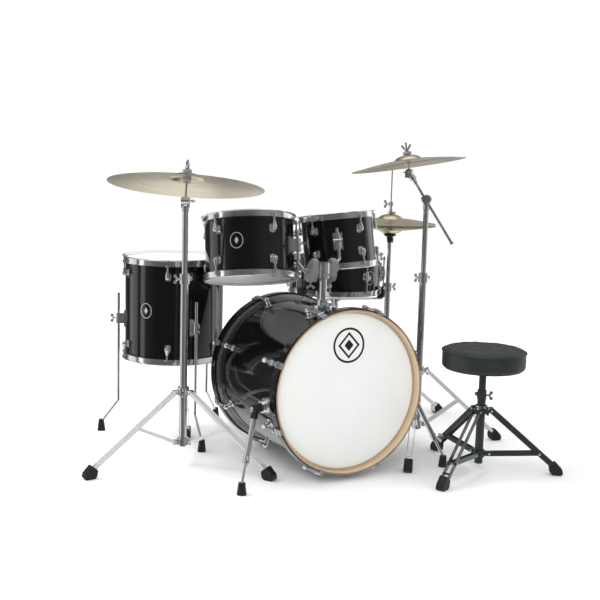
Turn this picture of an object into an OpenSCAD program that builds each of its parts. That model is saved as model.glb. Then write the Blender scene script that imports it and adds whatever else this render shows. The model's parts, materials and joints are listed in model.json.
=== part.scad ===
// Acoustic drum kit: bass drum, two hanging toms, floor tom, snare drum, ride, crash and
// hi-hat cymbals on their stands, bass drum pedal and throne.
// Millimetres, +Z up. +X is to the right for the audience and +Y points to the drummer.
// The origin lies on the floor at the middle of the kit's footprint.

/* [Layout on the floor, measured from the bass drum's front] */
// Middle of the footprint, to the right of the bass drum's axis
mid_x = 16.2; // [0:0.1:60]
// Middle of the footprint, behind the bass drum's front face
mid_y = 379; // [350:0.1:450]
// Ride stand, sideways
ride_x = -431; // [-461:5:-401]
// Ride stand, depth
ride_y = 371; // [341:2:381]
// Crash stand, sideways
boom_x = 437; // [433:2:461]
// Crash stand, depth
boom_y = 257; // [251:2:291]
// Hi-hat stand, sideways
hihat_x = 529; // [525:1:560]
// Hi-hat stand, depth
hihat_y = 632; // [610:1:640]
// Snare drum, sideways
snare_x = 388; // [380:1:392]
// Snare drum, depth
snare_y = 804; // [800:1:830]
// Floor tom, sideways
floor_x = -320; // [-360:1:-318]
// Floor tom, depth
floor_y = 753; // [750:1:780]
// Throne, sideways
throne_x = 462; // [452:5:552]
// Throne, depth
throne_y = -82; // [-160:2:-76]

/* [Drum sizes] */
// Bass drum shell diameter
bass_d = 508; // [500:1:512]
// Bass drum shell depth
bass_depth = 457; // [440:1:460]
// Left tom shell diameter
tom_left_d = 305; // [290:1:310]
// Left tom shell depth
tom_left_depth = 203; // [190:1:205]
// Right tom shell diameter
tom_right_d = 254; // [244:1:260]
// Right tom shell depth
tom_right_depth = 178; // [170:1:182]
// Floor tom shell diameter
floor_d = 356; // [350:1:360]
// Floor tom shell depth
floor_depth = 356; // [350:1:360]
// Snare shell diameter
snare_d = 356; // [350:1:358]
// Snare shell depth
snare_depth = 140; // [130:1:142]

/* [Cymbal sizes] */
// Ride cymbal diameter
ride_d = 512; // [480:1:520]
// Crash cymbal diameter
crash_d = 406; // [380:1:410]
// Hi-hat cymbal diameter
hat_d = 356; // [330:1:358]
// Gap between the hi-hat cymbals' rims with the pedal up
hat_gap = 9; // [8:0.5:12]

/* [Seat] */
// Throne cushion diameter
seat_d = 285; // [270:1:300]
// Throne cushion thickness
seat_t = 68; // [56:1:72]
// Height of the cushion's top
seat_h = 424; // [420:1:436]

/* [Hidden] */
$fn = 64;
chrome = "silver";
lacquer = "#151515";
film = "white";
bronze = "#cdb98a";
rubber = "#1c1c1c";
fit = 0.06;         // radial clearance of a running fit
gap = 0.4;          // clearance between neighbours that only pass each other

// ---------- shared helpers ----------

function dir_angles(d) = [0, acos(d[2] / norm(d)), atan2(d[1], d[0])];

// Places children in the kit: x and y are measured from the bass drum's front
module at(x, y, z = 0) {
  translate([x - mid_x, y - mid_y, z]) children();
}

// Turns children's +Z along the direction d, at the point p
module aim(p, d) {
  translate(p) rotate(dir_angles(d)) children();
}

// Round bar from a to b
module bar(a, b, r) {
  aim(a, b - a) cylinder(r = r, h = norm(b - a));
}

// Tube along +Z
module pipe(r, r_in, h) {
  difference() {
    cylinder(r = r, h = h);
    translate([0, 0, -1]) cylinder(r = r_in, h = h + 2);
  }
}

// Wing screw along +Z: the shank starts at 0 and the two wings stand at its end
module wing_screw(shank = 14, r = 3, wing = 13) {
  cylinder(r = r, h = shank);
  translate([0, 0, shank]) {
    cylinder(r = r + 2.5, h = 7);
    rotate([90, 0, 0]) translate([0, 0, -1.6]) linear_extrude(3.2) {
      for (s = [-1, 1]) {
        polygon([[0, 1], [s * (r + 2), 0], [s * wing, 7], [s * (r + 2), 7]]);
        translate([s * (wing - 3), 8.5]) circle(r = 5.5);
      }
    }
  }
}

// ---------- drums ----------

// Wooden shell along +Z, centred
module drum_shell(d, depth, t = 6) {
  translate([0, 0, -depth / 2]) pipe(d / 2, d / 2 - t, depth);
}

band_in = 5.1;       // the hoop's band stands this far outside the shell
ear_drop = 20;       // the ears' top below the hoop's rim
rim_rise = 9.5;      // the rim above the bearing edge
rod_out = 15.5;      // tension rods' axis outside the shell
hoop_lip = 12;       // the rolled lip's reach outside the shell

// Triple-flanged steel hoop: the rim is at z = 0 and the hoop hangs below it
module steel_hoop(d, n, turn) {
  r = d / 2 + band_in;
  lip = d / 2 + hoop_lip;
  rotate_extrude() polygon([
    [r, 0], [lip - 1.5, 0], [lip, -1.5], [lip - 1, -3.2], [r + 2, -2.4], [r + 2, -ear_drop],
    [r, -ear_drop]
  ]);
  translate([0, 0, -ear_drop - 2.4]) linear_extrude(2.4) difference() {
    union() {
      circle(r = r + 5.5);
      for (i = [0:n - 1]) rotate(turn + i * 360 / n) translate([d / 2 + rod_out - 2, 0]) circle(r = 8.5);
    }
    circle(r = r);
    for (i = [0:n - 1]) rotate(turn + i * 360 / n) translate([d / 2 + rod_out, 0]) circle(r = 3.3);
  }
}

// Head: film, collar and flesh hoop, with its playing face at z = 0
module drum_head(d) {
  r = d / 2;
  rotate_extrude() polygon([
    [0, 0], [r + 1, 0], [r + 3, -2], [r + 4.8, -3], [r + 4.8, -11], [r + 0.3, -11], [r + 0.3, -0.6],
    [0, -0.6]
  ]);
}

lug_drop = 60;       // lug centre below the rim
lug_r = 9;           // round end of the lug

// One lug with its gasket plate and tension rod, at radius r_shell on +X. Its rod points up.
module lug_and_rod(r_shell, rod_top) {
  axis = r_shell + rod_out;
  translate([axis, 0, 0]) {
    sphere(r = lug_r);
    cylinder(r1 = lug_r - 0.4, r2 = 5, h = 20);
    cylinder(r = 3, h = rod_top);
    translate([0, 0, rod_top]) cylinder(r = 6, h = 2);
    translate([-3.2, -3.2, rod_top + 2]) cube([6.4, 6.4, 8]);
  }
  translate([r_shell + 0.2, 0, 0]) {
    translate([-1.2, 0, 0]) intersection() {
      rotate([0, 90, 0]) cylinder(r = 15, h = 3.6);
      translate([0, -11, -15]) cube([4, 22, 34]);
    }
    rotate([0, 90, 0]) cylinder(r = 6.5, h = rod_out);
    translate([0, 0, 10]) rotate([0, 90, 0]) cylinder(r = 4.5, h = rod_out);
  }
}

// Both rings of lugs and rods of a drum, centred on the shell, clear of the shell's surface
module tuning_rings(d, depth, n, turn) {
  rim = depth / 2 + rim_rise;
  rod_top = lug_drop - ear_drop;
  difference() {
    for (i = [0:n - 1], s = [0, 1]) rotate([0, 0, turn + i * 360 / n]) mirror([0, 0, s])
      translate([0, 0, rim - lug_drop]) lug_and_rod(d / 2, rod_top + 0.2);
    cylinder(r = d / 2 + 0.2, h = 2 * depth, center = true);
  }
}

module both_hoops(d, depth, n, turn) {
  for (s = [0, 1]) mirror([0, 0, s]) translate([0, 0, depth / 2 + rim_rise]) steel_hoop(d, n, turn);
}

module both_heads(d, depth) {
  for (s = [0, 1]) mirror([0, 0, s]) translate([0, 0, depth / 2 + 0.6]) drum_head(d);
}

// ---------- bass drum ----------

bass_lean = 1.5;                     // the front is raised by this angle
bass_len = 515;                      // over both hoops
bass_rear_z = 278;                   // height of the rear hoop's centre
bass_hoop_r = 273.5;
bass_hoop_w = 38;
bass_lugs = 8;
bass_turn = 22.5;
bass_r = bass_d / 2;
bass_rod_r = bass_hoop_r + 7;
bass_lug_in = 106;                   // lug centre, from the hoop's outer face

// The bass drum's own frame: +Z runs from the rear hoop's face to the front, +Y is up
module bass_frame() {
  at(0, bass_len * cos(bass_lean), bass_rear_z) rotate([90 - bass_lean, 0, 0]) children();
}

// Places children at both ends, +Z outwards, with the hoop's outer face at z = 0
module bass_ends() {
  translate([0, 0, bass_len]) children();
  mirror([0, 0, 1]) children();
}

module bass_shell() color(lacquer) {
  difference() {
    bass_frame() translate([0, 0, (bass_len - bass_depth) / 2]) pipe(bass_r, bass_r - 7, bass_depth);
    at(0, post_y, bass_top - 60) cylinder(r = post_r + 1.5, h = 120);
  }
}

module bass_hoops() color("#20150c") {
  bass_frame() bass_ends() translate([0, 0, -bass_hoop_w]) {
    rotate_extrude() polygon([
      [bass_hoop_r - 12, 0], [bass_hoop_r - 1, 0], [bass_hoop_r, 1], [bass_hoop_r, bass_hoop_w - 5],
      [bass_hoop_r - 2, bass_hoop_w - 2], [bass_hoop_r - 5.5, bass_hoop_w],
      [bass_hoop_r - 10.5, bass_hoop_w], [bass_hoop_r - 12, bass_hoop_w - 1.5]
    ]);
  }
}

module bass_heads() color(film) {
  rim = (bass_len - bass_depth) / 2;
  bass_frame() bass_ends() translate([0, 0, -rim + 0.8]) {
    rotate_extrude() polygon([
      [0, 0], [bass_r - 1, 0], [bass_r + 2, -1.5], [bass_r + 7, -2.5], [bass_r + 7, -10.3],
      [bass_r + 13, -10.3], [bass_r + 13, -14.5], [bass_r + 0.4, -14.5], [bass_r + 0.4, -0.8], [0, -0.8]
    ]);
  }
}

// Claw hook over the wooden hoop, its T-rod and its lug, on +X, with the hoop's face at z = 0
module bass_tension_set() {
  out = bass_hoop_r + 0.3;
  translate([out, -10, -bass_hoop_w + 8]) cube([3.5, 20, bass_hoop_w - 8 + 3.2]);
  translate([out - 9, -10, 0.3]) cube([9, 20, 2.9]);
  translate([out, -7, -bass_hoop_w - 1]) cube([11, 14, 9]);
  translate([bass_rod_r, 0, -bass_hoop_w + 8]) cylinder(r = 5, h = 12);
  translate([bass_rod_r, -12, -bass_hoop_w + 21]) rotate([-90, 0, 0]) cylinder(r = 2.6, h = 24);
  translate([bass_rod_r, 0, -bass_lug_in]) {
    cylinder(r = 3, h = bass_lug_in - bass_hoop_w + 22);
    cylinder(r1 = 9, r2 = 5.5, h = 18);
    sphere(r = 9);
  }
  translate([bass_r + 0.2, 0, -bass_lug_in]) {
    translate([-1.2, 0, 0]) intersection() {
      rotate([0, 90, 0]) cylinder(r = 16, h = 4);
      translate([0, -12, -16]) cube([4, 24, 32]);
    }
    rotate([0, 90, 0]) cylinder(r = 7, h = bass_rod_r - bass_r);
  }
}

// All claw sets of both hoops
module bass_tuning_sets() {
  bass_frame() difference() {
    bass_ends() for (i = [0:bass_lugs - 1]) rotate(bass_turn + i * 360 / bass_lugs) bass_tension_set();
    translate([0, 0, 60]) cylinder(r = bass_r + 0.2, h = bass_len - 120);
  }
}

spur_y = 88;                         // spur hinge behind the front face
spur_angle = 8.5;                      // hinge below the drum's axis, seen from the front
spur_hinge_r = 300;
spur_hinge = [spur_hinge_r * cos(spur_angle), spur_y, 290 - spur_hinge_r * sin(spur_angle)];
spur_foot = [378, 5, 0];
spur_radial = [cos(spur_angle), 0, -sin(spur_angle)];
spur_bolt_r = 4;
spur_tube = 172;                     // length of the outer tube

// Round bracket of each spur on the shell, with its hinge bolt, and the tom holder's flange
module bass_brackets() {
  difference() {
    union() {
      at(0, 0) for (s = [0, 1]) mirror([s, 0, 0]) aim(spur_hinge, spur_radial) {
        translate([0, 0, -52]) cylinder(r = 27, h = 18);
        translate([0, 0, -40]) cylinder(r = 20, h = 22);
        translate([0, 0, -40]) cylinder(r = spur_bolt_r, h = 54);
        translate([0, 0, 12]) cylinder(r = 9, h = 5);
      }
      at(0, post_y, bass_top) {
        translate([0, 0, -8]) cylinder(r = 33, h = 16);
        cylinder(r = 20, h = 26);
        translate([0, 0, 16]) rotate([90, 0, 0]) wing_screw(24);
      }
    }
    at(0, post_y, bass_top - 90) cylinder(r = post_r + fit, h = 200);
    bass_frame() translate([0, 0, -20]) cylinder(r = bass_r + 0.3, h = bass_len + 40);
  }
}

module bass_hardware() color(chrome) {
  bass_tuning_sets();
  bass_brackets();
}

// Spur: knuckle, outer tube, inner rod with its wing screw, and rubber foot, on the right side
module spur() {
  tip = spur_foot + [0, 0, 34];
  d = tip - spur_hinge;
  len = norm(d);
  difference() {
    union() {
      aim(spur_hinge, spur_radial) translate([0, 0, -16]) cylinder(r = 14, h = 26);
      aim(spur_hinge, d) {
        translate([0, 0, 6]) cylinder(r = 11.5, h = 30);
        cylinder(r = 9, h = spur_tube);
        translate([0, 0, spur_tube - 16]) cylinder(r = 11, h = 22);
        cylinder(r = 4.4, h = len);
      }
    }
    aim(spur_hinge, spur_radial) {
      translate([0, 0, -60]) cylinder(r = spur_bolt_r + fit, h = 120);
      translate([0, 0, 11.5]) cylinder(r = 9.6, h = 60);
    }
  }
  aim(spur_hinge + d * ((spur_tube - 5) / len), [0.3, -1, 0.15]) translate([0, 0, 9]) wing_screw(10);
  color(rubber) translate(spur_foot) cylinder(r1 = 15.5, r2 = 11, h = 38);
}

module spur_right() color(chrome) {
  at(0, 0) spur();
}

module spur_left() color(chrome) {
  at(0, 0) mirror([1, 0, 0]) spur();
}

// ---------- tom holder and hanging toms ----------

post_y = 207;
post_r = 12.7;
post_top = 690;
bass_top = bass_rear_z + bass_r + (bass_len - post_y) * sin(bass_lean);
holder_z = 664;                      // height of the tilt pivots
pivot_y = post_y + 14;
pivot_r = 6;
wing_in = 22;                        // inner face of each side plate, from the post's axis
wing_t = 20;

// Post with the block that carries both arms
module tom_holder() color(chrome) {
  at(0, post_y) {
    translate([0, 0, bass_top - 60]) pipe(post_r, post_r - 2, post_top - bass_top + 60);
    difference() {
      union() {
        translate([0, 0, holder_z - 26]) cylinder(r = 20, h = 54);
        translate([-wing_in, -14, holder_z - 22]) cube([2 * wing_in, 40, 44]);
        for (s = [-1, 1]) translate([s * (wing_in + 1.5), 14, holder_z]) rotate([0, 90, 0])
          cylinder(r = 24, h = 3.2, center = true);
        translate([0, -16, holder_z - 12]) rotate([90, 0, 0]) wing_screw(10);
      }
      translate([0, 0, holder_z - 80]) cylinder(r = post_r - 0.5, h = 160);
    }
    for (s = [-1, 1]) translate([s * 22, 14, holder_z]) rotate([0, s * 90, 0]) cylinder(r = pivot_r, h = 42);
  }
}

arm_r = 5.5;

// Side plate with its L-rod. s is -1 for the left arm. The rod's upright follows the tom's lean.
module tom_arm(s, foot, up, rise) {
  plate_x = s * (wing_in + 3.6 + wing_t / 2);
  elbow = foot - up * 60;
  root = [plate_x, pivot_y + 26, holder_z - 22];
  at(0, 0) {
    difference() {
      union() {
        translate([plate_x - wing_t / 2, pivot_y, holder_z]) rotate([90, 0, 90]) linear_extrude(wing_t)
          polygon([[-26, -20], [-26, 34], [-10, 40], [12, 22], [34, -8], [38, -34], [10, -42], [-14, -38]]);
        bar(root, elbow, arm_r);
      }
      translate([-100, pivot_y, holder_z]) rotate([0, 90, 0]) cylinder(r = pivot_r + fit, h = 200);
    }
    translate(elbow) sphere(r = arm_r + 0.4);
    bar(elbow, foot + up * rise, arm_r);
    translate([plate_x, pivot_y + 8, holder_z - 38]) rotate([180, 0, 30 * s]) wing_screw(12);
  }
}

// Each hanging tom: centre, and the direction of its axis
tom_left_at = [-171, 428, 718];
tom_left_axis = [0.06, 0.225, 0.972];
tom_left_bracket = -50;              // bracket's direction round the drum
tom_right_at = [172, 414, 741];
tom_right_axis = [-0.065, 0.128, 0.99];
tom_right_bracket = -120;
bracket_out = 27;                    // the L-rod's axis outside the shell

// A point in the kit on the L-rod of a tom, at height h along the tom's axis
function lean(v, axis) =
  let (a = dir_angles(axis), c = [cos(a[1]), sin(a[1])], e = [cos(a[2]), sin(a[2])],
       x = v[0] * c[0] + v[2] * c[1], z = -v[0] * c[1] + v[2] * c[0])
  [x * e[0] - v[1] * e[1], x * e[1] + v[1] * e[0], z];
function rod_point(centre, axis, r, turn, h) =
  centre + lean([r * cos(turn - dir_angles(axis)[2]), r * sin(turn - dir_angles(axis)[2]), h], axis);

// The tom's own frame: +Z along its axis, with angles counted as if it stood upright
module tom_frame(centre, axis) {
  at(0, 0) aim(centre, axis) rotate([0, 0, -dir_angles(axis)[2]]) children();
}

module tom_bracket(d, turn) {
  rotate([0, 0, turn]) difference() {
    union() {
      translate([d / 2 - 2, -17, -30]) cube([7, 34, 60]);
      translate([d / 2 + 4, -11, -22]) cube([bracket_out - 4, 22, 44]);
      translate([d / 2 + bracket_out, 0, -22]) cylinder(r = 11, h = 44);
      translate([d / 2 + bracket_out + 8, 0, 4]) rotate([0, 90, 0]) {
        cylinder(r = 3.5, h = 14);
        translate([0, 0, 17]) rotate([90, 0, 0]) cylinder(r = 5, h = 32, center = true);
      }
    }
    cylinder(r = d / 2 + 0.2, h = 200, center = true);
    translate([d / 2 + bracket_out, 0, -60]) cylinder(r = arm_r + fit, h = 120);
  }
}

tom_left_turn = -13;
tom_right_turn = -156;
tom_lugs = 5;
left_r = tom_left_d / 2 + bracket_out;
right_r = tom_right_d / 2 + bracket_out;
left_rod = rod_point(tom_left_at, tom_left_axis, left_r, tom_left_bracket, 0);
right_rod = rod_point(tom_right_at, tom_right_axis, right_r, tom_right_bracket, 0);

module left_tom_arm() color(chrome) {
  tom_arm(-1, left_rod, tom_left_axis / norm(tom_left_axis), 46);
}

module right_tom_arm() color(chrome) {
  tom_arm(1, right_rod, tom_right_axis / norm(tom_right_axis), 46);
}

module left_tom_shell() color(lacquer) {
  tom_frame(tom_left_at, tom_left_axis) drum_shell(tom_left_d, tom_left_depth);
}

module left_tom_hoops() color(chrome) {
  tom_frame(tom_left_at, tom_left_axis) both_hoops(tom_left_d, tom_left_depth, tom_lugs, tom_left_turn);
}

module left_tom_heads() color(film) {
  tom_frame(tom_left_at, tom_left_axis) both_heads(tom_left_d, tom_left_depth);
}

module left_tom_hardware() color(chrome) {
  tom_frame(tom_left_at, tom_left_axis) {
    tuning_rings(tom_left_d, tom_left_depth, tom_lugs, tom_left_turn);
    tom_bracket(tom_left_d, tom_left_bracket);
  }
}

module right_tom_shell() color(lacquer) {
  tom_frame(tom_right_at, tom_right_axis) drum_shell(tom_right_d, tom_right_depth);
}

module right_tom_hoops() color(chrome) {
  tom_frame(tom_right_at, tom_right_axis)
    both_hoops(tom_right_d, tom_right_depth, tom_lugs, tom_right_turn);
}

module right_tom_heads() color(film) {
  tom_frame(tom_right_at, tom_right_axis) both_heads(tom_right_d, tom_right_depth);
}

module right_tom_hardware() color(chrome) {
  tom_frame(tom_right_at, tom_right_axis) {
    tuning_rings(tom_right_d, tom_right_depth, tom_lugs, tom_right_turn);
    tom_bracket(tom_right_d, tom_right_bracket);
  }
}

// ---------- floor tom ----------

floor_mid_z = 479.5;
floor_lugs = 6;
floor_turn = 2;
floor_leg_turns = [-89, 31, 151];
floor_leg_out = 28;                  // leg rods outside the shell
floor_leg_r = 4.75;
floor_leg_top = 522;
floor_kink_z = 118;
floor_foot_out = 92;
floor_bracket_z = 428;
floor_leg_at = floor_d / 2 + floor_leg_out;

module floor_frame() {
  at(floor_x, floor_y, floor_mid_z) children();
}

module floor_tom_shell() color(lacquer) {
  floor_frame() drum_shell(floor_d, floor_depth);
}

module floor_tom_hoops() color(chrome) {
  floor_frame() both_hoops(floor_d, floor_depth, floor_lugs, floor_turn);
}

module floor_tom_heads() color(film) {
  floor_frame() both_heads(floor_d, floor_depth);
}

// Lugs and rods, and the three leg brackets with their wing screws
module floor_tom_hardware() color(chrome) {
  floor_frame() tuning_rings(floor_d, floor_depth, floor_lugs, floor_turn);
  at(floor_x, floor_y, floor_bracket_z) difference() {
    for (a = floor_leg_turns) rotate([0, 0, a]) {
      translate([floor_d / 2 - 4, -14, -30]) cube([10, 28, 60]);
      translate([floor_d / 2 + 4, -9, -18]) cube([floor_leg_out - 4, 18, 36]);
      translate([floor_leg_at, 0, -18]) cylinder(r = 10, h = 36);
      translate([floor_leg_at + 8, 0, 0]) rotate([0, 90, 0]) wing_screw(8);
    }
    translate([0, 0, -100]) cylinder(r = floor_d / 2 + 0.2, h = 200);
    for (a = floor_leg_turns) rotate([0, 0, a]) translate([floor_leg_at, 0, -100])
      cylinder(r = floor_leg_r + fit, h = 200);
  }
}

module floor_leg(turn) {
  kink = [floor_leg_at, 0, floor_kink_z];
  tip = [floor_d / 2 + floor_foot_out, 0, 30];
  at(floor_x, floor_y) rotate([0, 0, turn]) {
    color(chrome) {
      bar(kink, [floor_leg_at, 0, floor_leg_top], floor_leg_r);
      translate(kink) sphere(r = floor_leg_r + 0.4);
      bar(kink, tip, floor_leg_r);
    }
    color(rubber) translate([tip[0], 0, 0]) cylinder(r1 = 15, r2 = 10, h = 42);
  }
}

module floor_tom_leg_1() floor_leg(floor_leg_turns[0]);

module floor_tom_leg_2() floor_leg(floor_leg_turns[1]);

module floor_tom_leg_3() floor_leg(floor_leg_turns[2]);

// ---------- tripods ----------

// A tripod's sizes: [tube radius, hub pivot radius, hub pivot height, lower pivot radius,
// lower pivot height, foot radius, brace joint's share of the leg, bar height, bar gap,
// tube's length below the lower pivot]
big_tripod = [12.7, 31, 250, 30, 80, 352, 0.46, 12, 8, 16];
boom_tripod = [12.7, 31, 280, 30, 80, 346, 0.46, 12, 8, 16];
hat_tripod = [11.5, 29, 216, 29, 58, 286, 0.5, 11, 8, 16];
snare_tripod = [12.5, 30, 208, 30, 92, 250, 0.52, 11, 8, 16];
seat_tripod = [14, 34, 212, 34, 62, 280, 0.74, 17, 10, 34];
bar_t = 2.6;
pin_r = 3;
foot_tip = 13;                       // end of the leg's line above the floor

function leg_start(t) = [t[1], 0, t[2]];
function leg_end(t) = [t[5] - 22, 0, foot_tip + 10];
function leg_len(t) = norm(leg_end(t) - leg_start(t));
function brace_top(t) = leg_start(t) + (leg_end(t) - leg_start(t)) * t[6];
function brace_foot(t) = [t[3], 0, t[4]];

// Flat bar pair or web from a to b in the XZ plane, y0 to y1 on each side, h high
module flat_pair(a, b, y0, y1, h, grow) {
  d = b - a;
  translate(a) rotate([0, atan2(-d[2], d[0]), 0]) for (s = [0, 1]) mirror([0, s, 0]) {
    translate([0, y0, -h / 2]) cube([norm(d), y1 - y0, h]);
    for (e = [0, norm(d)]) translate([e, y0, 0]) rotate([-90, 0, 0])
      cylinder(r = h / 2 + grow, h = y1 - y0);
  }
}

// Leg on +X: two flat bars, rivets, cross piece and rubber foot
module tripod_leg(t, metal) {
  a = leg_start(t);
  b = leg_end(t);
  m = brace_top(t);
  y0 = t[8];
  dir = (b - a) / norm(b - a);
  color(metal) difference() {
    union() {
      flat_pair(a, b, y0, y0 + bar_t, t[7], 0.8);
      translate(m) rotate([-90, 0, 0]) for (s = [0, 1]) mirror([0, 0, s]) translate([0, 0, y0])
        cylinder(r = 4.5, h = bar_t + 2.5);
      translate(b - dir * 34) rotate([-90, 0, 0]) cylinder(r = 3.4, h = 2 * y0 + 1, center = true);
    }
    translate(a) rotate([-90, 0, 0]) cylinder(r = pin_r + fit, h = 60, center = true);
  }
  color(rubber) difference() {
    translate([t[5] - 22, -14, 0]) rotate([90, 0, 0]) mirror([0, 0, 1]) linear_extrude(28)
      polygon([[-10, 0], [18, 0], [24, 7], [21, 20], [-2, 44], [-22, 27], [-19, 9]]);
    flat_pair(a, b, y0, y0 + bar_t, t[7], 0.8);
  }
}

// Brace on +X: a channel between the lower collar's ear and the leg's bars
module tripod_brace(t, metal) {
  a = brace_foot(t);
  b = brace_top(t);
  dir = (b - a) / norm(b - a);
  y1 = t[8] - 1;
  h = t[7] - 2;
  color(metal) difference() {
    union() {
      flat_pair(a, b, y1 - 2.2, y1, h, 0);
      flat_pair(a + dir * 18, b - dir * 16, 0, y1 - 2.2, 2.4, 0);
    }
    translate(a) rotate([-90, 0, 0]) cylinder(r = pin_r + fit, h = 60, center = true);
  }
}

// Ears and pins of a collar at radius r and height z, half-thickness ear
module collar_ears(turns, r, z, r_tube, ear, pin) {
  for (a = turns) rotate([0, 0, a]) {
    translate([r_tube + 2, -ear, z - 8]) cube([r - r_tube + 3, 2 * ear, 16]);
    translate([r, 0, z]) rotate([-90, 0, 0]) cylinder(r = pin_r, h = 2 * pin, center = true);
  }
}

module hub_collar(t, turns, r_in, metal) {
  color(metal) difference() {
    union() {
      translate([0, 0, t[2] - 12]) cylinder(r = t[0] + 6.5, h = 28);
      collar_ears(turns, t[1], t[2], t[0], t[8] - 0.6, t[8] + bar_t + 2);
      rotate([0, 0, turns[0] + 60]) translate([t[0] + 4, 0, t[2] + 4]) rotate([0, 90, 0]) wing_screw(12);
    }
    translate([0, 0, t[2] - 60]) cylinder(r = r_in, h = 200);
  }
}

// Lower collar and the tube it closes, with the tube's top at z_top
module tripod_tube(t, turns, r_in, z_top, metal) {
  color(metal) {
    difference() {
      union() {
        translate([0, 0, t[4] - t[9]]) cylinder(r = t[0], h = z_top - t[4] + t[9]);
        translate([0, 0, t[4] - 12]) cylinder(r = t[0] + 5, h = 24);
        collar_ears(turns, t[3], t[4], t[0], t[8] - 3.6, t[8] - 0.8);
      }
      translate([0, 0, t[4] + 30]) cylinder(r = r_in, h = z_top);
    }
  }
}

module fixed_tripod(t, turns, metal) {
  for (a = turns) rotate([0, 0, a]) {
    tripod_leg(t, metal);
    tripod_brace(t, metal);
  }
}

// Clamp at a tube's top: its bore holds the next tube with a running fit
module tube_clamp(r_tube, r_next, z, turn) {
  difference() {
    union() {
      translate([0, 0, z - 14]) cylinder(r = r_tube + 4.5, h = 32);
      rotate([0, 0, turn]) translate([r_tube + 2, 0, z + 2]) rotate([0, 90, 0]) wing_screw(10);
      rotate([0, 0, turn + 180]) translate([r_tube + 2, 0, z + 2]) rotate([0, 90, 0]) cylinder(r = 7, h = 10);
    }
    translate([0, 0, z - 40]) cylinder(r = r_next + fit, h = 80);
  }
}

// ---------- cymbals ----------

// Height of a cymbal's upper face at radius r, with the bell's top at 0
function bow(r, rb, hb, rim, hw) =
  r <= rb
    ? -hb * (0.6 * pow(r / rb, 2) + 0.4 * pow(r / rb, 5))
    : -hb - hw * pow((r - rb) / (rim - rb), 1.3);
bell_steps = 9;
bow_steps = 16;
cymbal_hole = 6.2;

// Cymbal of diameter d with the bell's top at z = 0
module cymbal(d, bell_r, bell_h, bow_h, t) {
  rim = d / 2;
  radii = concat(
    [for (i = [0:bell_steps]) cymbal_hole + (bell_r - cymbal_hole) * i / bell_steps],
    [for (i = [1:bow_steps]) bell_r + (rim - bell_r) * i / bow_steps]
  );
  n = len(radii) - 1;
  color(bronze) rotate_extrude($fn = 128) polygon(concat(
    [for (i = [0:n]) [radii[i], bow(radii[i], bell_r, bell_h, rim, bow_h)]],
    [for (i = [0:n]) [radii[n - i], bow(radii[n - i], bell_r, bell_h, rim, bow_h) - t]]
  ));
}

sleeve_r = 5.4;
felt_drop = 1.2;                     // the lower felt's top under the bell's inner face

// Cymbal rod above a tilt pivot: sleeve, felts, washer and wing nut. top is the bell's height.
module cymbal_seat(top, bell_t) {
  cylinder(r = 4, h = top + 44);
  translate([0, 0, top - 30]) cylinder(r = sleeve_r, h = 46);
  translate([0, 0, top - 32]) cylinder(r = 13, h = 5);
  translate([0, 0, top - 27]) cylinder(r = 14, h = 27 - bell_t - felt_drop);
  translate([0, 0, top + 0.4]) cylinder(r = 15, h = 11);
  translate([0, 0, top + 11.4]) cylinder(r = 8, h = 3);
  translate([0, 0, top + 14.4]) {
    cylinder(r = 7.5, h = 9);
    rotate([90, 0, 0]) translate([0, 0, -2]) linear_extrude(4) for (s = [-1, 1]) {
      polygon([[s * 5, 0], [s * 12, 8], [s * 20, 20], [s * 14, 22], [s * 5, 9]]);
    }
  }
}

// Ratchet tilter. The lower fork stands on the tube, the upper disc carries the rod.
tilter_r = 13;
module tilter_fork() {
  translate([0, 0, -34]) cylinder(r = 12, h = 18);
  for (s = [-1, 1]) translate([-9, s * 10 - 2.5, -22]) cube([18, 5, 22]);
  for (s = [-1, 1]) translate([0, s * 10 - 2.5, 0]) rotate([-90, 0, 0]) cylinder(r = tilter_r, h = 5);
  translate([0, -14, 0]) rotate([-90, 0, 0]) cylinder(r = 3.5, h = 28);
  translate([0, -12.5, 0]) rotate([90, 0, 0]) wing_screw(7);
}

module tilter_disc() {
  difference() {
    rotate([-90, 0, 0]) cylinder(r = tilter_r, h = 14, center = true);
    rotate([-90, 0, 0]) cylinder(r = 3.5 + fit, h = 40, center = true);
  }
}

// ---------- ride stand ----------

ride_turns = [186, 306, 66];
ride_bore = 10.9;
ride_tube_top = 628;
ride_upper_r = 9.5;
ride_pivot_z = 886;
ride_tilt_dir = [0.114, 0.152, 0.982];
ride_bell_up = 91;                   // bell's top above the pivot
ride_bell_t = 1.3;

module ride_stand_base() color(chrome) {
  at(ride_x, ride_y) {
    tripod_tube(big_tripod, ride_turns, ride_bore, ride_tube_top - 14, chrome);
    tube_clamp(big_tripod[0], ride_upper_r, ride_tube_top, 180);
  }
}

module ride_leg_collar() {
  at(ride_x, ride_y) hub_collar(big_tripod, ride_turns, big_tripod[0] + fit, chrome);
}

module ride_leg(i) {
  at(ride_x, ride_y) rotate([0, 0, ride_turns[i]]) tripod_leg(big_tripod, chrome);
}

module ride_leg_1() ride_leg(0);

module ride_leg_2() ride_leg(1);

module ride_leg_3() ride_leg(2);

module ride_brace(i) {
  at(ride_x, ride_y) rotate([0, 0, ride_turns[i]]) tripod_brace(big_tripod, chrome);
}

module ride_brace_1() ride_brace(0);

module ride_brace_2() ride_brace(1);

module ride_brace_3() ride_brace(2);

// The tilter's hinge is square to the direction in which the rod leans
ride_tilt_turn = atan2(ride_tilt_dir[1], ride_tilt_dir[0]);
ride_lean = acos(ride_tilt_dir[2] / norm(ride_tilt_dir));

module ride_upper_tube() color(chrome) {
  at(ride_x, ride_y) {
    translate([0, 0, 360]) pipe(ride_upper_r, ride_upper_r - 1.6, ride_pivot_z - 30 - 360);
    translate([0, 0, ride_pivot_z]) rotate([0, 0, ride_tilt_turn]) tilter_fork();
  }
}

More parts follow.
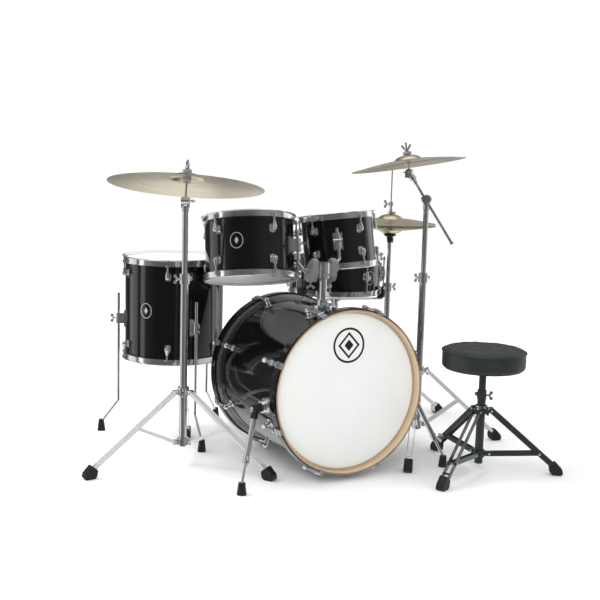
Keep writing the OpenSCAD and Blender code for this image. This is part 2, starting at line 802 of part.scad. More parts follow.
module ride_rod_frame() {
  at(ride_x, ride_y, ride_pivot_z) rotate([0, 0, ride_tilt_turn]) rotate([0, ride_lean, 0]) children();
}

module ride_tilter() color(chrome) {
  ride_rod_frame() {
    tilter_disc();
    translate([0, 0, 10]) cymbal_seat(ride_bell_up - 10, ride_bell_t);
  }
}

module ride_cymbal() {
  ride_rod_frame() translate([0, 0, ride_bell_up]) cymbal(ride_d, 62, 19, 24, ride_bell_t);
}

// ---------- crash stand with boom arm ----------

boom_turns = [-128.5, -8.5, 111.5];
boom_tube_top = 618;
boom_upper_r = 9.5;
boom_pivot_z = 899;
boom_dir = [-0.392, 0.392, 0.83];    // from the boom's tail to its tilter
boom_turn = atan2(boom_dir[1], boom_dir[0]);
boom_lean = acos(boom_dir[2] / norm(boom_dir));
boom_reach = 112;
boom_tail = 180;
boom_r = 5;
boom_side = 18.5;                    // the arm passes this far beside the tube
crash_dir = [-0.107, 0.139, 0.985];
crash_lean = acos(crash_dir[2] / norm(crash_dir));
crash_turn = atan2(crash_dir[1], crash_dir[0]);
crash_bell_up = 62;
crash_bell_t = 1.1;

module crash_stand_base() color(chrome) {
  at(boom_x, boom_y) {
    tripod_tube(boom_tripod, boom_turns, ride_bore, boom_tube_top - 14, chrome);
    hub_collar(boom_tripod, boom_turns, boom_tripod[0] + fit, chrome);
    fixed_tripod(boom_tripod, boom_turns, chrome);
    tube_clamp(boom_tripod[0], boom_upper_r, boom_tube_top, 180);
  }
}

// Upper tube with the fixed half of the boom's ratchet and its bolt
module crash_upper_tube() color(chrome) {
  at(boom_x, boom_y) {
    translate([0, 0, 360]) pipe(boom_upper_r, boom_upper_r - 1.6, boom_pivot_z - 30 - 360);
    translate([0, 0, boom_pivot_z]) rotate([0, 0, boom_turn]) {
      translate([0, 0, -38]) cylinder(r = 12, h = 19.5);
      translate([-11, -10, -24]) cube([22, 9, 24]);
      translate([0, -10, 0]) rotate([-90, 0, 0]) cylinder(r = 16, h = 9);
      translate([0, -14, 0]) rotate([-90, 0, 0]) cylinder(r = 3.5, h = 15 + boom_side);
      translate([0, -12, 0]) rotate([90, 0, 0]) wing_screw(6);
    }
  }
}

module boom_frame() {
  at(boom_x, boom_y, boom_pivot_z) rotate([0, 0, boom_turn]) rotate([0, boom_lean, 0]) children();
}

// Where the crash tilter's hinge is, in the kit
crash_pivot = [boom_x, boom_y, boom_pivot_z] + boom_dir / norm(boom_dir) * boom_reach
  + boom_side * [-sin(boom_turn), cos(boom_turn), 0];

// Arm through the boom tilter, with the fork of the cymbal tilter on its upper end
module crash_boom_arm() color(chrome) {
  boom_frame() {
    difference() {
      union() {
        translate([0, gap, 0]) rotate([-90, 0, 0]) cylinder(r = 16, h = 11);
        translate([-11, 8, -14]) cube([22, boom_side, 28]);
      }
      rotate([-90, 0, 0]) cylinder(r = 3.5 + fit, h = 60, center = true);
    }
    translate([0, boom_side, 0]) {
      translate([0, 0, -boom_tail]) cylinder(r = boom_r, h = boom_tail - 13);
      translate([0, 0, 13]) cylinder(r = boom_r, h = boom_reach - 37);
      translate([0, 0, -boom_tail - 3]) cylinder(r = 7, h = 8);
      translate([0, 0, boom_reach - 46]) cylinder(r = 7.5, h = 22);
    }
  }
  at(crash_pivot[0], crash_pivot[1], crash_pivot[2]) rotate([0, 0, crash_turn]) {
    for (s = [-1, 1]) translate([0, s * 10 - 2.5, 0]) rotate([-90, 0, 0]) cylinder(r = tilter_r, h = 5);
    translate([0, -14, 0]) rotate([-90, 0, 0]) cylinder(r = 3.5, h = 28);
    translate([0, 12.5, 0]) rotate([-90, 0, 0]) wing_screw(7);
    rotate([0, 0, boom_turn - crash_turn]) rotate([0, boom_lean, 0]) translate([0, 0, -30])
      cylinder(r = 12, h = 14);
    for (s = [-1, 1]) translate([-8, s * 10 - 2.5, -19]) cube([20, 5, 19]);
  }
}

module crash_rod_frame() {
  at(crash_pivot[0], crash_pivot[1], crash_pivot[2]) rotate([0, 0, crash_turn])
    rotate([0, crash_lean, 0]) children();
}

module crash_tilter() color(chrome) {
  crash_rod_frame() {
    tilter_disc();
    translate([0, 0, 10]) cymbal_seat(crash_bell_up - 10, crash_bell_t);
  }
}

module crash_cymbal() {
  crash_rod_frame() translate([0, 0, crash_bell_up]) cymbal(crash_d, 50, 17, 20, crash_bell_t);
}

// ---------- hi-hat ----------

hihat_turns = [0, 120, 240];
hihat_tube_top = 532;
hihat_upper_r = 8;
hat_rim_z = 783;                     // between the two rims
hat_bell_h = 17;
hat_bow_h = 18;
hat_t = 1.2;
hat_h = hat_bell_h + hat_bow_h;
hat_low_top = hat_rim_z - hat_gap / 2 - hat_h;
hat_top = hat_rim_z + hat_gap / 2 + hat_h;
hat_rod_r = 3;
hat_rod_top = 994;
hat_pedal_w = 56;
hat_board = 195;                     // footboard's length
hat_chain_y = 19;                    // chain behind the tube's axis
heel_y = 262;                        // heel hinge behind the hi-hat's tube
heel_z = 22;

// Tripod, lower tube, spring housing and pedal frame
module hihat_stand_base() color(chrome) {
  at(hihat_x, hihat_y) {
    difference() {
      tripod_tube(hat_tripod, hihat_turns, 9.4, hihat_tube_top - 14, chrome);
      translate([-6, 0, 94]) cube([12, 20, 32]);
    }
    hub_collar(hat_tripod, hihat_turns, hat_tripod[0] + fit, chrome);
    fixed_tripod(hat_tripod, hihat_turns, chrome);
    tube_clamp(hat_tripod[0], hihat_upper_r, hihat_tube_top, 0);
    for (s = [-1, 1]) bar([s * 40, 12, 8], [s * 40, heel_y, 8], 4.5);
    translate([-44, 4, 3]) cube([88, 14, 10]);
    translate([-44, heel_y - 16, 0]) cube([88, 46, 9]);
    for (s = [-1, 1]) translate([s * 40 - 3, heel_y - 10, 9]) cube([6, 20, 22]);
    translate([-43, heel_y, heel_z]) rotate([0, 90, 0]) cylinder(r = 3, h = 86);
    bar([-40, 11, 8], [-15, 0, 46], 4);
    bar([40, 11, 8], [15, 0, 46], 4);
  }
}

// Upper tube with the cup that holds the bottom cymbal
module hihat_upper_tube() color(chrome) {
  at(hihat_x, hihat_y) {
    translate([0, 0, 330]) pipe(hihat_upper_r, 5, 400);
    color(rubber) difference() {
      union() {
        translate([0, 0, hat_low_top - 32]) cylinder(r1 = 10, r2 = 12, h = 22);
        translate([0, 0, hat_low_top - 10]) cylinder(r1 = 14, r2 = 25, h = 6);
        translate([0, 0, hat_low_top - 4]) cylinder(r = 25, h = 3.6);
        translate([14, 0, hat_low_top - 34]) cylinder(r = 3, h = 20);
      }
      translate([0, 0, hat_low_top - 60]) cylinder(r = hihat_upper_r - 0.4, h = 40);
      translate([0, 0, hat_low_top - 60]) cylinder(r = 5, h = 100);
    }
  }
}

module hihat_bottom_cymbal() {
  at(hihat_x, hihat_y, hat_low_top) mirror([0, 0, 1]) cymbal(hat_d, 48, hat_bell_h, hat_bow_h, hat_t);
}

module hihat_top_cymbal() {
  at(hihat_x, hihat_y, hat_top) cymbal(hat_d, 48, hat_bell_h, hat_bow_h, hat_t);
}

// Pull rod with the clutch: sleeve, felts, nuts and drum-key screw
module hihat_pull_rod() color(chrome) {
  at(hihat_x, hihat_y) {
    translate([0, 0, 120]) cylinder(r = hat_rod_r, h = hat_rod_top - 120);
    translate([0, 0, hat_top - 16]) cylinder(r = 5.6, h = 62);
    translate([0, 0, hat_top - 16]) cylinder(r = 11, h = 16 - hat_t - felt_drop);
    translate([0, 0, hat_top + 0.4]) cylinder(r = 12, h = 8);
    translate([0, 0, hat_top + 8.4]) cylinder(r = 8, h = 6);
    translate([0, 0, hat_top + 30]) cylinder(r = 8.5, h = 18);
    translate([-7, 0, hat_top + 39]) rotate([0, -90, 0]) wing_screw(12);
  }
}

// Footboard with its toe hook and the chain that goes through the tube's slot to the rod
module hihat_footboard() color(chrome) {
  at(hihat_x, hihat_y) {
    difference() {
      pedal_plate(hat_pedal_w, heel_y, heel_z, hat_board, 13);
      translate([-60, heel_y, heel_z]) rotate([0, 90, 0]) cylinder(r = 3 + fit, h = 120);
    }
    translate([-7, hat_chain_y - 1, 74]) cube([14, 74, 3.5]);
    for (i = [0:3]) translate([-3.5, hat_chain_y - 1, 78 + i * 9]) cube([7, 5, 8]);
    translate([-1.2, hat_chain_y, 76]) cube([2.4, 3, 38]);
    translate([-3.5, 4, 108]) cube([7, hat_chain_y - 2, 5]);
  }
}

// Footboard from its heel hinge at y, z towards -Y, rising by lift degrees
module pedal_plate(w, y, z, len, lift) {
  translate([0, y, z]) rotate([-lift, 0, 0]) {
    translate([-w / 2, -len, 4]) cube([w, len - 14, 5]);
    for (i = [0:6]) translate([-w / 2 + 6, -40 - i * 24, 9]) cube([w - 12, 8, 2]);
    rotate([0, 90, 0]) cylinder(r = 7, h = w, center = true);
    translate([-w / 2, -18, -1]) cube([w, 18, 8]);
  }
}

// ---------- snare drum and stand ----------

snare_mid_z = 579;
snare_lugs = 8;
snare_turn = 9.5;
snare_rod_out = 13;
basket_z = 470;
basket_turns = [197, 317, 77];

module snare_frame() {
  at(snare_x, snare_y, snare_mid_z) children();
}

module snare_shell() color(lacquer) {
  snare_frame() drum_shell(snare_d, snare_depth);
}

module snare_hoops() color(chrome) {
  snare_frame() both_hoops(snare_d, snare_depth, snare_lugs, snare_turn);
}

module snare_heads() color(film) {
  snare_frame() both_heads(snare_d, snare_depth);
}

// Double-ended lugs with their rods, the strainer with its lever, and the butt plate
module snare_hardware() color(chrome) {
  rod_top = snare_depth / 2 + rim_rise - ear_drop;
  snare_frame() difference() {
    union() {
      for (i = [0:snare_lugs - 1]) rotate([0, 0, snare_turn + i * 360 / snare_lugs]) {
        translate([snare_d / 2 + rod_out, 0, 0]) {
          sphere(r = 8);
          for (s = [0, 1]) mirror([0, 0, s]) {
            cylinder(r1 = 8, r2 = 5, h = 20);
            cylinder(r = 3, h = rod_top + 0.2);
            translate([0, 0, rod_top + 0.2]) cylinder(r = 6, h = 2);
            translate([-3.2, -3.2, rod_top + 2]) cube([6.4, 6.4, 8]);
          }
        }
        translate([snare_d / 2 - 1, 0, 0]) rotate([0, 90, 0]) cylinder(r = 8, h = rod_out);
        translate([snare_d / 2 - 1, -10, -13]) cube([3.4, 20, 26]);
      }
      rotate([0, 0, strainer_turn]) {
        translate([snare_d / 2 - 1, -16, -44]) cube([9, 32, 70]);
        translate([snare_d / 2 + 6, -11, -38]) cube([12, 22, 48]);
        translate([snare_d / 2 + 12.8, 0, -6]) cylinder(r = 5, h = 42);
        translate([snare_d / 2 + 17, -5, -34]) cube([5, 10, 56]);
        translate([snare_d / 2 + 2, -14, -55.5]) cube([4, 28, 18]);
      }
      rotate([0, 0, strainer_turn + 180]) {
        translate([snare_d / 2 - 1, -16, -34]) cube([8, 32, 48]);
        translate([snare_d / 2 + 2, -14, -55.5]) cube([4, 28, 30]);
      }
    }
    cylinder(r = snare_d / 2 + 0.2, h = 400, center = true);
  }
}

strainer_turn = -13;
wire_count = 10;

// Snare wires under the lower head, with their end plates
module snare_wires() color(chrome) {
  snare_frame() rotate([0, 0, strainer_turn]) translate([0, 0, -snare_depth / 2 - 3.2]) {
    for (i = [0:wire_count - 1]) translate([-150, (i - (wire_count - 1) / 2) * 3.6, 0]) rotate([0, 90, 0])
      cylinder(r = 1.1, h = 300);
    for (s = [-1, 1]) translate([s * 152 - 7, -20, -1.4]) cube([14, 40, 2.8]);
  }
}

snare_turns = [165, 285, 45];
snare_tube_top = 330;
snare_upper_r = 9.5;

module snare_stand_base() color(chrome) {
  at(snare_x, snare_y) {
    tripod_tube(snare_tripod, snare_turns, 10.7, snare_tube_top - 14, chrome);
    hub_collar(snare_tripod, snare_turns, snare_tripod[0] + fit, chrome);
    fixed_tripod(snare_tripod, snare_turns, chrome);
    tube_clamp(snare_tripod[0], snare_upper_r, snare_tube_top, 90);
  }
}

// Upper tube, ratchet, and the three basket arms with rubber grips round the lower hoop
module snare_basket() color(chrome) {
  grip_r = snare_d / 2 + hoop_lip + 0.6;
  rim_z = snare_mid_z - snare_depth / 2 - rim_rise;
  at(snare_x, snare_y) {
    translate([0, 0, 200]) cylinder(r = snare_upper_r, h = basket_z - 220);
    translate([0, 0, basket_z - 24]) cylinder(r = 15, h = 18);
    translate([0, 0, basket_z - 8]) cylinder(r = 24, h = 10);
    translate([0, 0, basket_z - 46]) cylinder(r1 = 14, r2 = 17, h = 22);
    for (a = basket_turns) rotate([0, 0, a]) {
      bar([20, 0, basket_z - 2], [grip_r + 1, 0, rim_z - 16], 5);
      bar([grip_r + 4, 0, rim_z - 18], [grip_r + 4, 0, rim_z + 16], 4);
      color(rubber) translate([grip_r, -13, rim_z - 0.4]) cube([11, 26, 30]);
      color(rubber) translate([grip_r - 16, -13, rim_z - 11]) cube([27, 26, 10.4]);
    }
  }
}

// ---------- throne ----------

throne_turns = [207.5, 327.5, 87.5];
throne_tube_top = 262;
throne_post_r = 12;
slate = "#2c3436";

module throne_base() color(slate) {
  at(throne_x, throne_y) {
    tripod_tube(seat_tripod, throne_turns, 12.6, throne_tube_top - 14, slate);
    hub_collar(seat_tripod, throne_turns, seat_tripod[0] + fit, slate);
    fixed_tripod(seat_tripod, throne_turns, slate);
    tube_clamp(seat_tripod[0] - 3, throne_post_r, throne_tube_top, -50);
  }
}

module throne_post() color(slate) {
  at(throne_x, throne_y) {
    translate([0, 0, 136]) cylinder(r = throne_post_r, h = seat_h - seat_t - 24 - 136);
    translate([0, 0, seat_h - seat_t - 24]) cylinder(r = 8, h = 16);
  }
}

// Cushion and the seat plate under it with its socket for the post's spigot
module throne_seat() color(slate) {
  at(throne_x, throne_y, seat_h - seat_t) {
    rotate_extrude() polygon([
      [0, 0], [seat_d / 2 - 10, 0], [seat_d / 2 - 2, 8], [seat_d / 2, 18], [seat_d / 2, seat_t - 20],
      [seat_d / 2 - 3, seat_t - 10], [seat_d / 2 - 16, seat_t - 3], [seat_d / 2 - 40, seat_t], [0, seat_t]
    ]);
    difference() {
      union() {
        translate([0, 0, -3]) cylinder(r = 60, h = 3);
        translate([0, 0, -23.6]) cylinder(r = 14, h = 22);
      }
      translate([0, 0, -40]) cylinder(r = 8 + fit, h = 34);
    }
  }
}

// ---------- bass drum pedal ----------

axle_y = 562;
axle_z = 190;
axle_r = 5;
kick_heel_y = 812;
kick_heel_z = 22;
kick_w = 84;
beater_lean = 26;
beater_strike = 16;                  // shaft's lean when the beater meets the head
beater_len = 176;
sprocket_r = 25;
chain_y = 590.3;                     // chain's line, tangent to the sprocket
chain_z = 86;                        // chain's pin on the toe
chain_pin_r = 2;
upright_x = 52;                      // uprights' middle from the pedal's axis

// Base plate, hoop clamp, uprights and heel plate
module kick_pedal_frame() color(chrome) {
  at(0, 0) {
    translate([-46, 522, 0]) cube([92, 318, 4.5]);
    difference() {
      for (s = [-1, 1]) translate([s * upright_x - 6, axle_y - 15, 0]) cube([12, 30, axle_z + 12]);
      translate([-100, axle_y, axle_z]) rotate([0, 90, 0]) cylinder(r = axle_r + fit, h = 200);
    }
    for (s = [-1, 1]) {
      translate([s * upright_x - 8, axle_y - 20, 0]) cube([16, 40, 14]);
      translate([s * 46 - 4, kick_heel_y - 9, 4]) cube([8, 18, 26]);
    }
    translate([-58, axle_y - 15, 0]) cube([116, 30, 10]);
    translate([-30, 482, 1.2]) cube([60, 60, 2.4]);
    translate([-14, 516.5, 4]) cube([28, 24, 18]);
    translate([-50, kick_heel_y, kick_heel_z]) rotate([0, 90, 0]) cylinder(r = 3.5, h = 100);
  }
}

module kick_footboard() color(chrome) {
  at(0, 0) {
    difference() {
      pedal_plate(kick_w - 4, kick_heel_y, kick_heel_z, 226, 16);
      translate([-60, kick_heel_y, kick_heel_z]) rotate([0, 90, 0]) cylinder(r = 3.5 + fit, h = 120);
    }
    for (s = [-1, 1]) translate([s * 7.5 - 1.5, chain_y - 5.3, chain_z - 6]) cube([3, 14, 11]);
    translate([-9, chain_y, chain_z]) rotate([0, 90, 0]) cylinder(r = chain_pin_r, h = 18);
  }
}

// Chain from the pin on the toe up to the sprocket
module kick_chain() color(chrome) {
  links = 11;
  pitch = 9;
  at(0, chain_y, chain_z) {
    difference() {
      translate([-4.5, 0, 0]) rotate([0, 90, 0]) cylinder(r = 4, h = 9);
      translate([-9, 0, 0]) rotate([0, 90, 0]) cylinder(r = chain_pin_r + fit, h = 18);
    }
    for (i = [0:links - 1]) translate([-4.6, -1.8, 6 + i * pitch]) cube([9.2, 3.6, pitch - 1.4]);
    translate([-1.5, -1, 3]) cube([3, 2, 8 + (links - 1) * pitch]);
  }
}

// Axle with its sprocket, beater shaft and felt beater
module kick_beater() color(chrome) {
  at(0, axle_y, axle_z) {
    rotate([0, 90, 0]) cylinder(r = axle_r, h = 2 * upright_x + 6, center = true);
    rotate([0, 90, 0]) cylinder(r = sprocket_r, h = 9, center = true);
    rotate([0, 90, 0]) cylinder(r = 12, h = 26, center = true);
    rotate([-beater_lean, 0, 0]) {
      cylinder(r = 3.6, h = beater_len);
      color("white") translate([0, 0, beater_len]) rotate([90 - beater_strike, 0, 0])
        cylinder(r = 24, h = 42, center = true);
    }
  }
}

bass_shell();
bass_hoops();
bass_heads();
bass_hardware();
spur_left();
spur_right();
tom_holder();
left_tom_arm();
left_tom_shell();
left_tom_hoops();
left_tom_heads();
left_tom_hardware();
right_tom_arm();
right_tom_shell();
right_tom_hoops();
right_tom_heads();
right_tom_hardware();
floor_tom_shell();
floor_tom_hoops();
floor_tom_heads();
floor_tom_hardware();
floor_tom_leg_1();
floor_tom_leg_2();
floor_tom_leg_3();
snare_shell();
snare_hoops();
snare_heads();
snare_hardware();
snare_wires();
snare_stand_base();
snare_basket();
ride_stand_base();
ride_leg_collar();
ride_leg_1();
ride_leg_2();
ride_leg_3();
ride_brace_1();
ride_brace_2();
ride_brace_3();
ride_upper_tube();
ride_tilter();
ride_cymbal();
crash_stand_base();
crash_upper_tube();
crash_boom_arm();
crash_tilter();
crash_cymbal();
hihat_stand_base();
hihat_upper_tube();
hihat_bottom_cymbal();
hihat_top_cymbal();
hihat_pull_rod();
hihat_footboard();
throne_base();
throne_post();
throne_seat();
kick_pedal_frame();
kick_footboard();
kick_chain();
kick_beater();
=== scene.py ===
import json
import math

import bmesh
import bpy
import numpy as np
from mathutils import Matrix, Vector


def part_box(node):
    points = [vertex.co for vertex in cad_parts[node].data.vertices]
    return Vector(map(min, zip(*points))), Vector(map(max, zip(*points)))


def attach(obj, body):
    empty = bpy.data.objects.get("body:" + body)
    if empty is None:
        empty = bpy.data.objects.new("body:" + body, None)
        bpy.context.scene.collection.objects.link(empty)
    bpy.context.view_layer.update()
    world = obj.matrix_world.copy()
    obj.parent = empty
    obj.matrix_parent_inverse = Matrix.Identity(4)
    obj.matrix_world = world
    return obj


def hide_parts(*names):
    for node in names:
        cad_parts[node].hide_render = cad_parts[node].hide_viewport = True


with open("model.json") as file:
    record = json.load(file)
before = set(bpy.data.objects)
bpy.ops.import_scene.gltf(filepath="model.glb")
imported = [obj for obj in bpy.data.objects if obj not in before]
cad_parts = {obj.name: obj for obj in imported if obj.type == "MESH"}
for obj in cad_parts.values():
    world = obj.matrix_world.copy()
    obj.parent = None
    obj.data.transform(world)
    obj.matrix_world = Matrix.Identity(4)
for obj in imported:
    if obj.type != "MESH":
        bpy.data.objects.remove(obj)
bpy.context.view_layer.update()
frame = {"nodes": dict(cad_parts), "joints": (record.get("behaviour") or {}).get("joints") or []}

MM = 0.001
UP = Vector((0, 0, 1))
ROOT = "bass_drum"
JOINTS = {j["name"]: j for j in frame["joints"]}

# Boots of the stands: slope of the legs, and how the rubber reaches back along them
LEG_SLOPE = math.radians(39.7)
FOOT_ANKLE = 24 * MM
FOOT_LENGTH = 36 * MM
FOOT_BACK = 25 * MM
# How far each fixed tripod's feet reach from its upright
FEET = {
    "crash_stand_base": 0.348, "hihat_stand_base": 0.288, "snare_stand_base": 0.252,
    "throne_base": 0.282,
}

# Where the material changes on a CAD part: gaskets under the lugs, flesh hoops round the heads,
# painted front edge and inner face of the bass drum's hoops
GASKET = 1.6 * MM
FLESH_HOOP = 0.6 * MM
HOOP_EDGE = 0.5 * MM
HOOP_FACE = 2 * MM
# Stands' legs outside their collars, and the throne's chrome clamp
COLLAR_REACH = 40 * MM
CLAMP_HEIGHT = 60 * MM
CLAMP_REACH = 19 * MM
# Spurs' rubber feet and black hinge bosses, and the floor tom legs' feet
SPUR_FOOT = 39 * MM
SPUR_BOSS = 34 * MM
FLOOR_TOM_FOOT = 43 * MM
# Cast plates of the tom holder: beyond its block, and round the post as (x, y, down)
HOLDER_BLOCK = 21 * MM
HOLDER_PLATES = (48 * MM, 58 * MM, 66 * MM)
# Rubber grips of the snare basket, and the hi-hat's cup
GRIP_HEIGHT = 42 * MM
GRIP_REACH = 150 * MM
CUP_HEIGHT = 34 * MM
CUP_REACH = 6 * MM
# Felt head of the pedal's beater: its middle below the top, and its reach
BEATER_DROP = 24 * MM
BEATER_REACH = 36 * MM

# Felts: low end and high end from the top of the bell, and radius
UPPER_FELT = (0.3 * MM, 11.5 * MM, 15.6 * MM)
LOWER_FELT = (-27.2 * MM, -2.5 * MM, 14.5 * MM)
CLUTCH_FELT = (0.3 * MM, 8.5 * MM, 12.5 * MM)

# Throne: cushion, seam and socket, the bearings of its legs, and its rivets in mm, each with its
# distance from the upright, height and half of the width that it goes through
SEAT_THICK = 68 * MM
SEAT_SWELL = 3.2 * MM
SEAT_PINNED = 8 * MM
VOXEL = 5 * MM
CLOTH_FRAMES = 20
PIPING_DROP = 10.8 * MM
SOCKET_BORE = 8.6 * MM
THRONE_TURNS = (207.5, 327.5, 87.5)
RIVETS = ((34, 212, 15.5), (34, 62, 9.6), (199.8, 72.1, 17.6))

# Badges: drum, bearing of the plate, its height above the shell's middle in mm, and its body,
# then half the plate's width and height; the emblem's place right of and above the head's middle
BADGES = (
    ("left_tom", -130.5, 10, "left_tom"),
    ("floor_tom", -144.5, 4, ROOT),
    ("snare", -70.5, -8, "snare"),
)
BADGE_HALF = (21.5 * MM, 26 * MM)
BORDER = 1 * MM
PLATE_GAP = 0.1 * MM
EMBLEM_AT = (0.005, 0.150)
PRINT_THICK = 0.12 * MM


# ---------- camera, lights and floor ----------

CAMERA_AT = Vector((-1.6990, -3.1957, 1.0593))
CAMERA_YAW = math.radians(27.84)
CAMERA_PITCH = math.radians(-8.18)
CAMERA_ROLL = math.radians(1.58)
CAMERA_LENS = 62.5

ROOM_STRENGTH = 1.06
STUDIO_STRENGTH = 1.15
STUDIO_SIDES = [
    (-180, 0.30), (-150, 0.05), (-124, 0.05), (-114, 0.80), (-90, 0.60), (-86, 0.08), (-80, 0.08),
    (-77, 1.0), (-68, 1.0), (-64, 0.16), (-38, 0.04), (10, 0.05), (40, 0.15), (85, 0.20),
    (97, 0.10), (108, 0.95), (136, 0.95), (145, 0.25), (180, 0.35),
]
# Brightness by the sine of a direction's height: the softbox overhead and the sides' fade, both
# upwards, and the white ground, downwards
STUDIO_TOP = [(0.0, 0.0), (0.42, 0.0), (0.62, 0.16), (0.8, 0.4), (0.88, 0.9), (1.0, 0.9)]
STUDIO_FADE = [(0.0, 1.0), (0.5, 1.0), (0.75, 0.1), (1.0, 0.0)]
STUDIO_GROUND = [(0.0, 0.0), (0.3, 0.0), (0.5, 0.6), (1.0, 0.8)]


def camera_axes():
    """Right, up and forward directions of the camera."""
    forward = Vector((
        math.sin(CAMERA_YAW) * math.cos(CAMERA_PITCH),
        math.cos(CAMERA_YAW) * math.cos(CAMERA_PITCH),
        math.sin(CAMERA_PITCH),
    ))
    right = Vector((math.cos(CAMERA_YAW), -math.sin(CAMERA_YAW), 0))
    up = right.cross(forward)
    c, s = math.cos(CAMERA_ROLL), math.sin(CAMERA_ROLL)
    return right * c + up * s, up * c - right * s, forward


def add_camera():
    data = bpy.data.cameras.new("camera")
    data.lens = CAMERA_LENS
    data.sensor_width = 36
    obj = bpy.data.objects.new("camera", data)
    right, up, forward = camera_axes()
    turn = Matrix((right, up, -forward)).transposed().to_4x4()
    obj.matrix_world = Matrix.Translation(CAMERA_AT) @ turn
    bpy.context.scene.collection.objects.link(obj)
    bpy.context.scene.camera = obj


def area_light(name, at, aim, size, power):
    """Round soft light that lights surfaces but isn't seen in reflections."""
    data = bpy.data.lights.new(name, "AREA")
    data.shape = "DISK"
    data.size = size
    data.energy = power
    obj = bpy.data.objects.new(name, data)
    obj.location = at
    obj.rotation_euler = (Vector(aim) - Vector(at)).to_track_quat("-Z", "Y").to_euler()
    obj.visible_glossy = False
    bpy.context.scene.collection.objects.link(obj)


def ramp(nodes, stops):
    """Color ramp with stops (position, color), where a plain number is a grey."""
    node = nodes.new("ShaderNodeValToRGB")
    elements = node.color_ramp.elements
    while len(elements) > 1:
        elements.remove(elements[-1])
    for i, (position, value) in enumerate(stops):
        element = elements[0] if i == 0 else elements.new(position)
        element.position = position
        shade = value if isinstance(value, tuple) else (value, value, value)
        element.color = (*shade, 1)
    return node


def add_world():
    """White room for the eye and for soft light; reflections see softboxes and dark flags."""
    world = bpy.data.worlds.new("studio")
    bpy.context.scene.world = world
    world.use_nodes = True
    bpy.context.scene.view_settings.view_transform = "Standard"
    nodes, links = world.node_tree.nodes, world.node_tree.links
    nodes.clear()
    out = nodes.new("ShaderNodeOutputWorld")
    mix = nodes.new("ShaderNodeMixShader")
    room = nodes.new("ShaderNodeBackground")
    studio = nodes.new("ShaderNodeBackground")
    path = nodes.new("ShaderNodeLightPath")
    coords = nodes.new("ShaderNodeTexCoord")
    room.inputs["Color"].default_value = (1, 1, 1, 1)
    room.inputs["Strength"].default_value = ROOM_STRENGTH
    studio.inputs["Strength"].default_value = STUDIO_STRENGTH

    def shade(value, stops):
        node = ramp(nodes, stops)
        links.new(value, node.inputs["Fac"])
        return node.outputs["Color"]

    def blend(kind, a, b):
        node = nodes.new("ShaderNodeMix")
        node.data_type = "RGBA"
        node.blend_type = kind
        node.inputs["Factor"].default_value = 1
        links.new(a, node.inputs["A"])
        links.new(b, node.inputs["B"])
        return node.outputs["Result"]

    side = Vector((math.cos(CAMERA_YAW), -math.sin(CAMERA_YAW), 0))
    back = Vector((-math.sin(CAMERA_YAW), -math.cos(CAMERA_YAW), 0))
    dots = []
    for direction in (side, back, UP, -UP):
        dot = nodes.new("ShaderNodeVectorMath")
        dot.operation = "DOT_PRODUCT"
        dot.inputs[1].default_value = direction
        links.new(coords.outputs["Generated"], dot.inputs[0])
        dots.append(dot.outputs["Value"])
    bearing = nodes.new("ShaderNodeMath")
    bearing.operation = "ARCTAN2"
    links.new(dots[0], bearing.inputs[0])
    links.new(dots[1], bearing.inputs[1])
    turn = nodes.new("ShaderNodeMapRange")
    turn.inputs["From Min"].default_value = -math.pi
    turn.inputs["From Max"].default_value = math.pi
    links.new(bearing.outputs[0], turn.inputs["Value"])
    sides = shade(turn.outputs["Result"], [((a + 180) / 360, v) for a, v in STUDIO_SIDES])
    walls = blend("MULTIPLY", sides, shade(dots[2], STUDIO_FADE))
    lit = blend("LIGHTEN", walls, shade(dots[2], STUDIO_TOP))
    lit = blend("LIGHTEN", lit, shade(dots[3], STUDIO_GROUND))
    links.new(lit, studio.inputs["Color"])
    links.new(path.outputs["Is Glossy Ray"], mix.inputs["Fac"])
    links.new(room.outputs[0], mix.inputs[1])
    links.new(studio.outputs[0], mix.inputs[2])
    links.new(mix.outputs[0], out.inputs["Surface"])


# ---------- materials ----------

def make_material(name, color, roughness, metallic=0.0, **sockets):
    """Principled material. sockets are further inputs, with spaces as underscores."""
    material = bpy.data.materials.new(name)
    material.use_nodes = True
    shader = material.node_tree.nodes["Principled BSDF"]
    shader.inputs["Base Color"].default_value = (*color, 1)
    shader.inputs["Roughness"].default_value = roughness
    shader.inputs["Metallic"].default_value = metallic
    for socket, value in sockets.items():
        shader.inputs[socket.replace("_", " ")].default_value = value
    return material


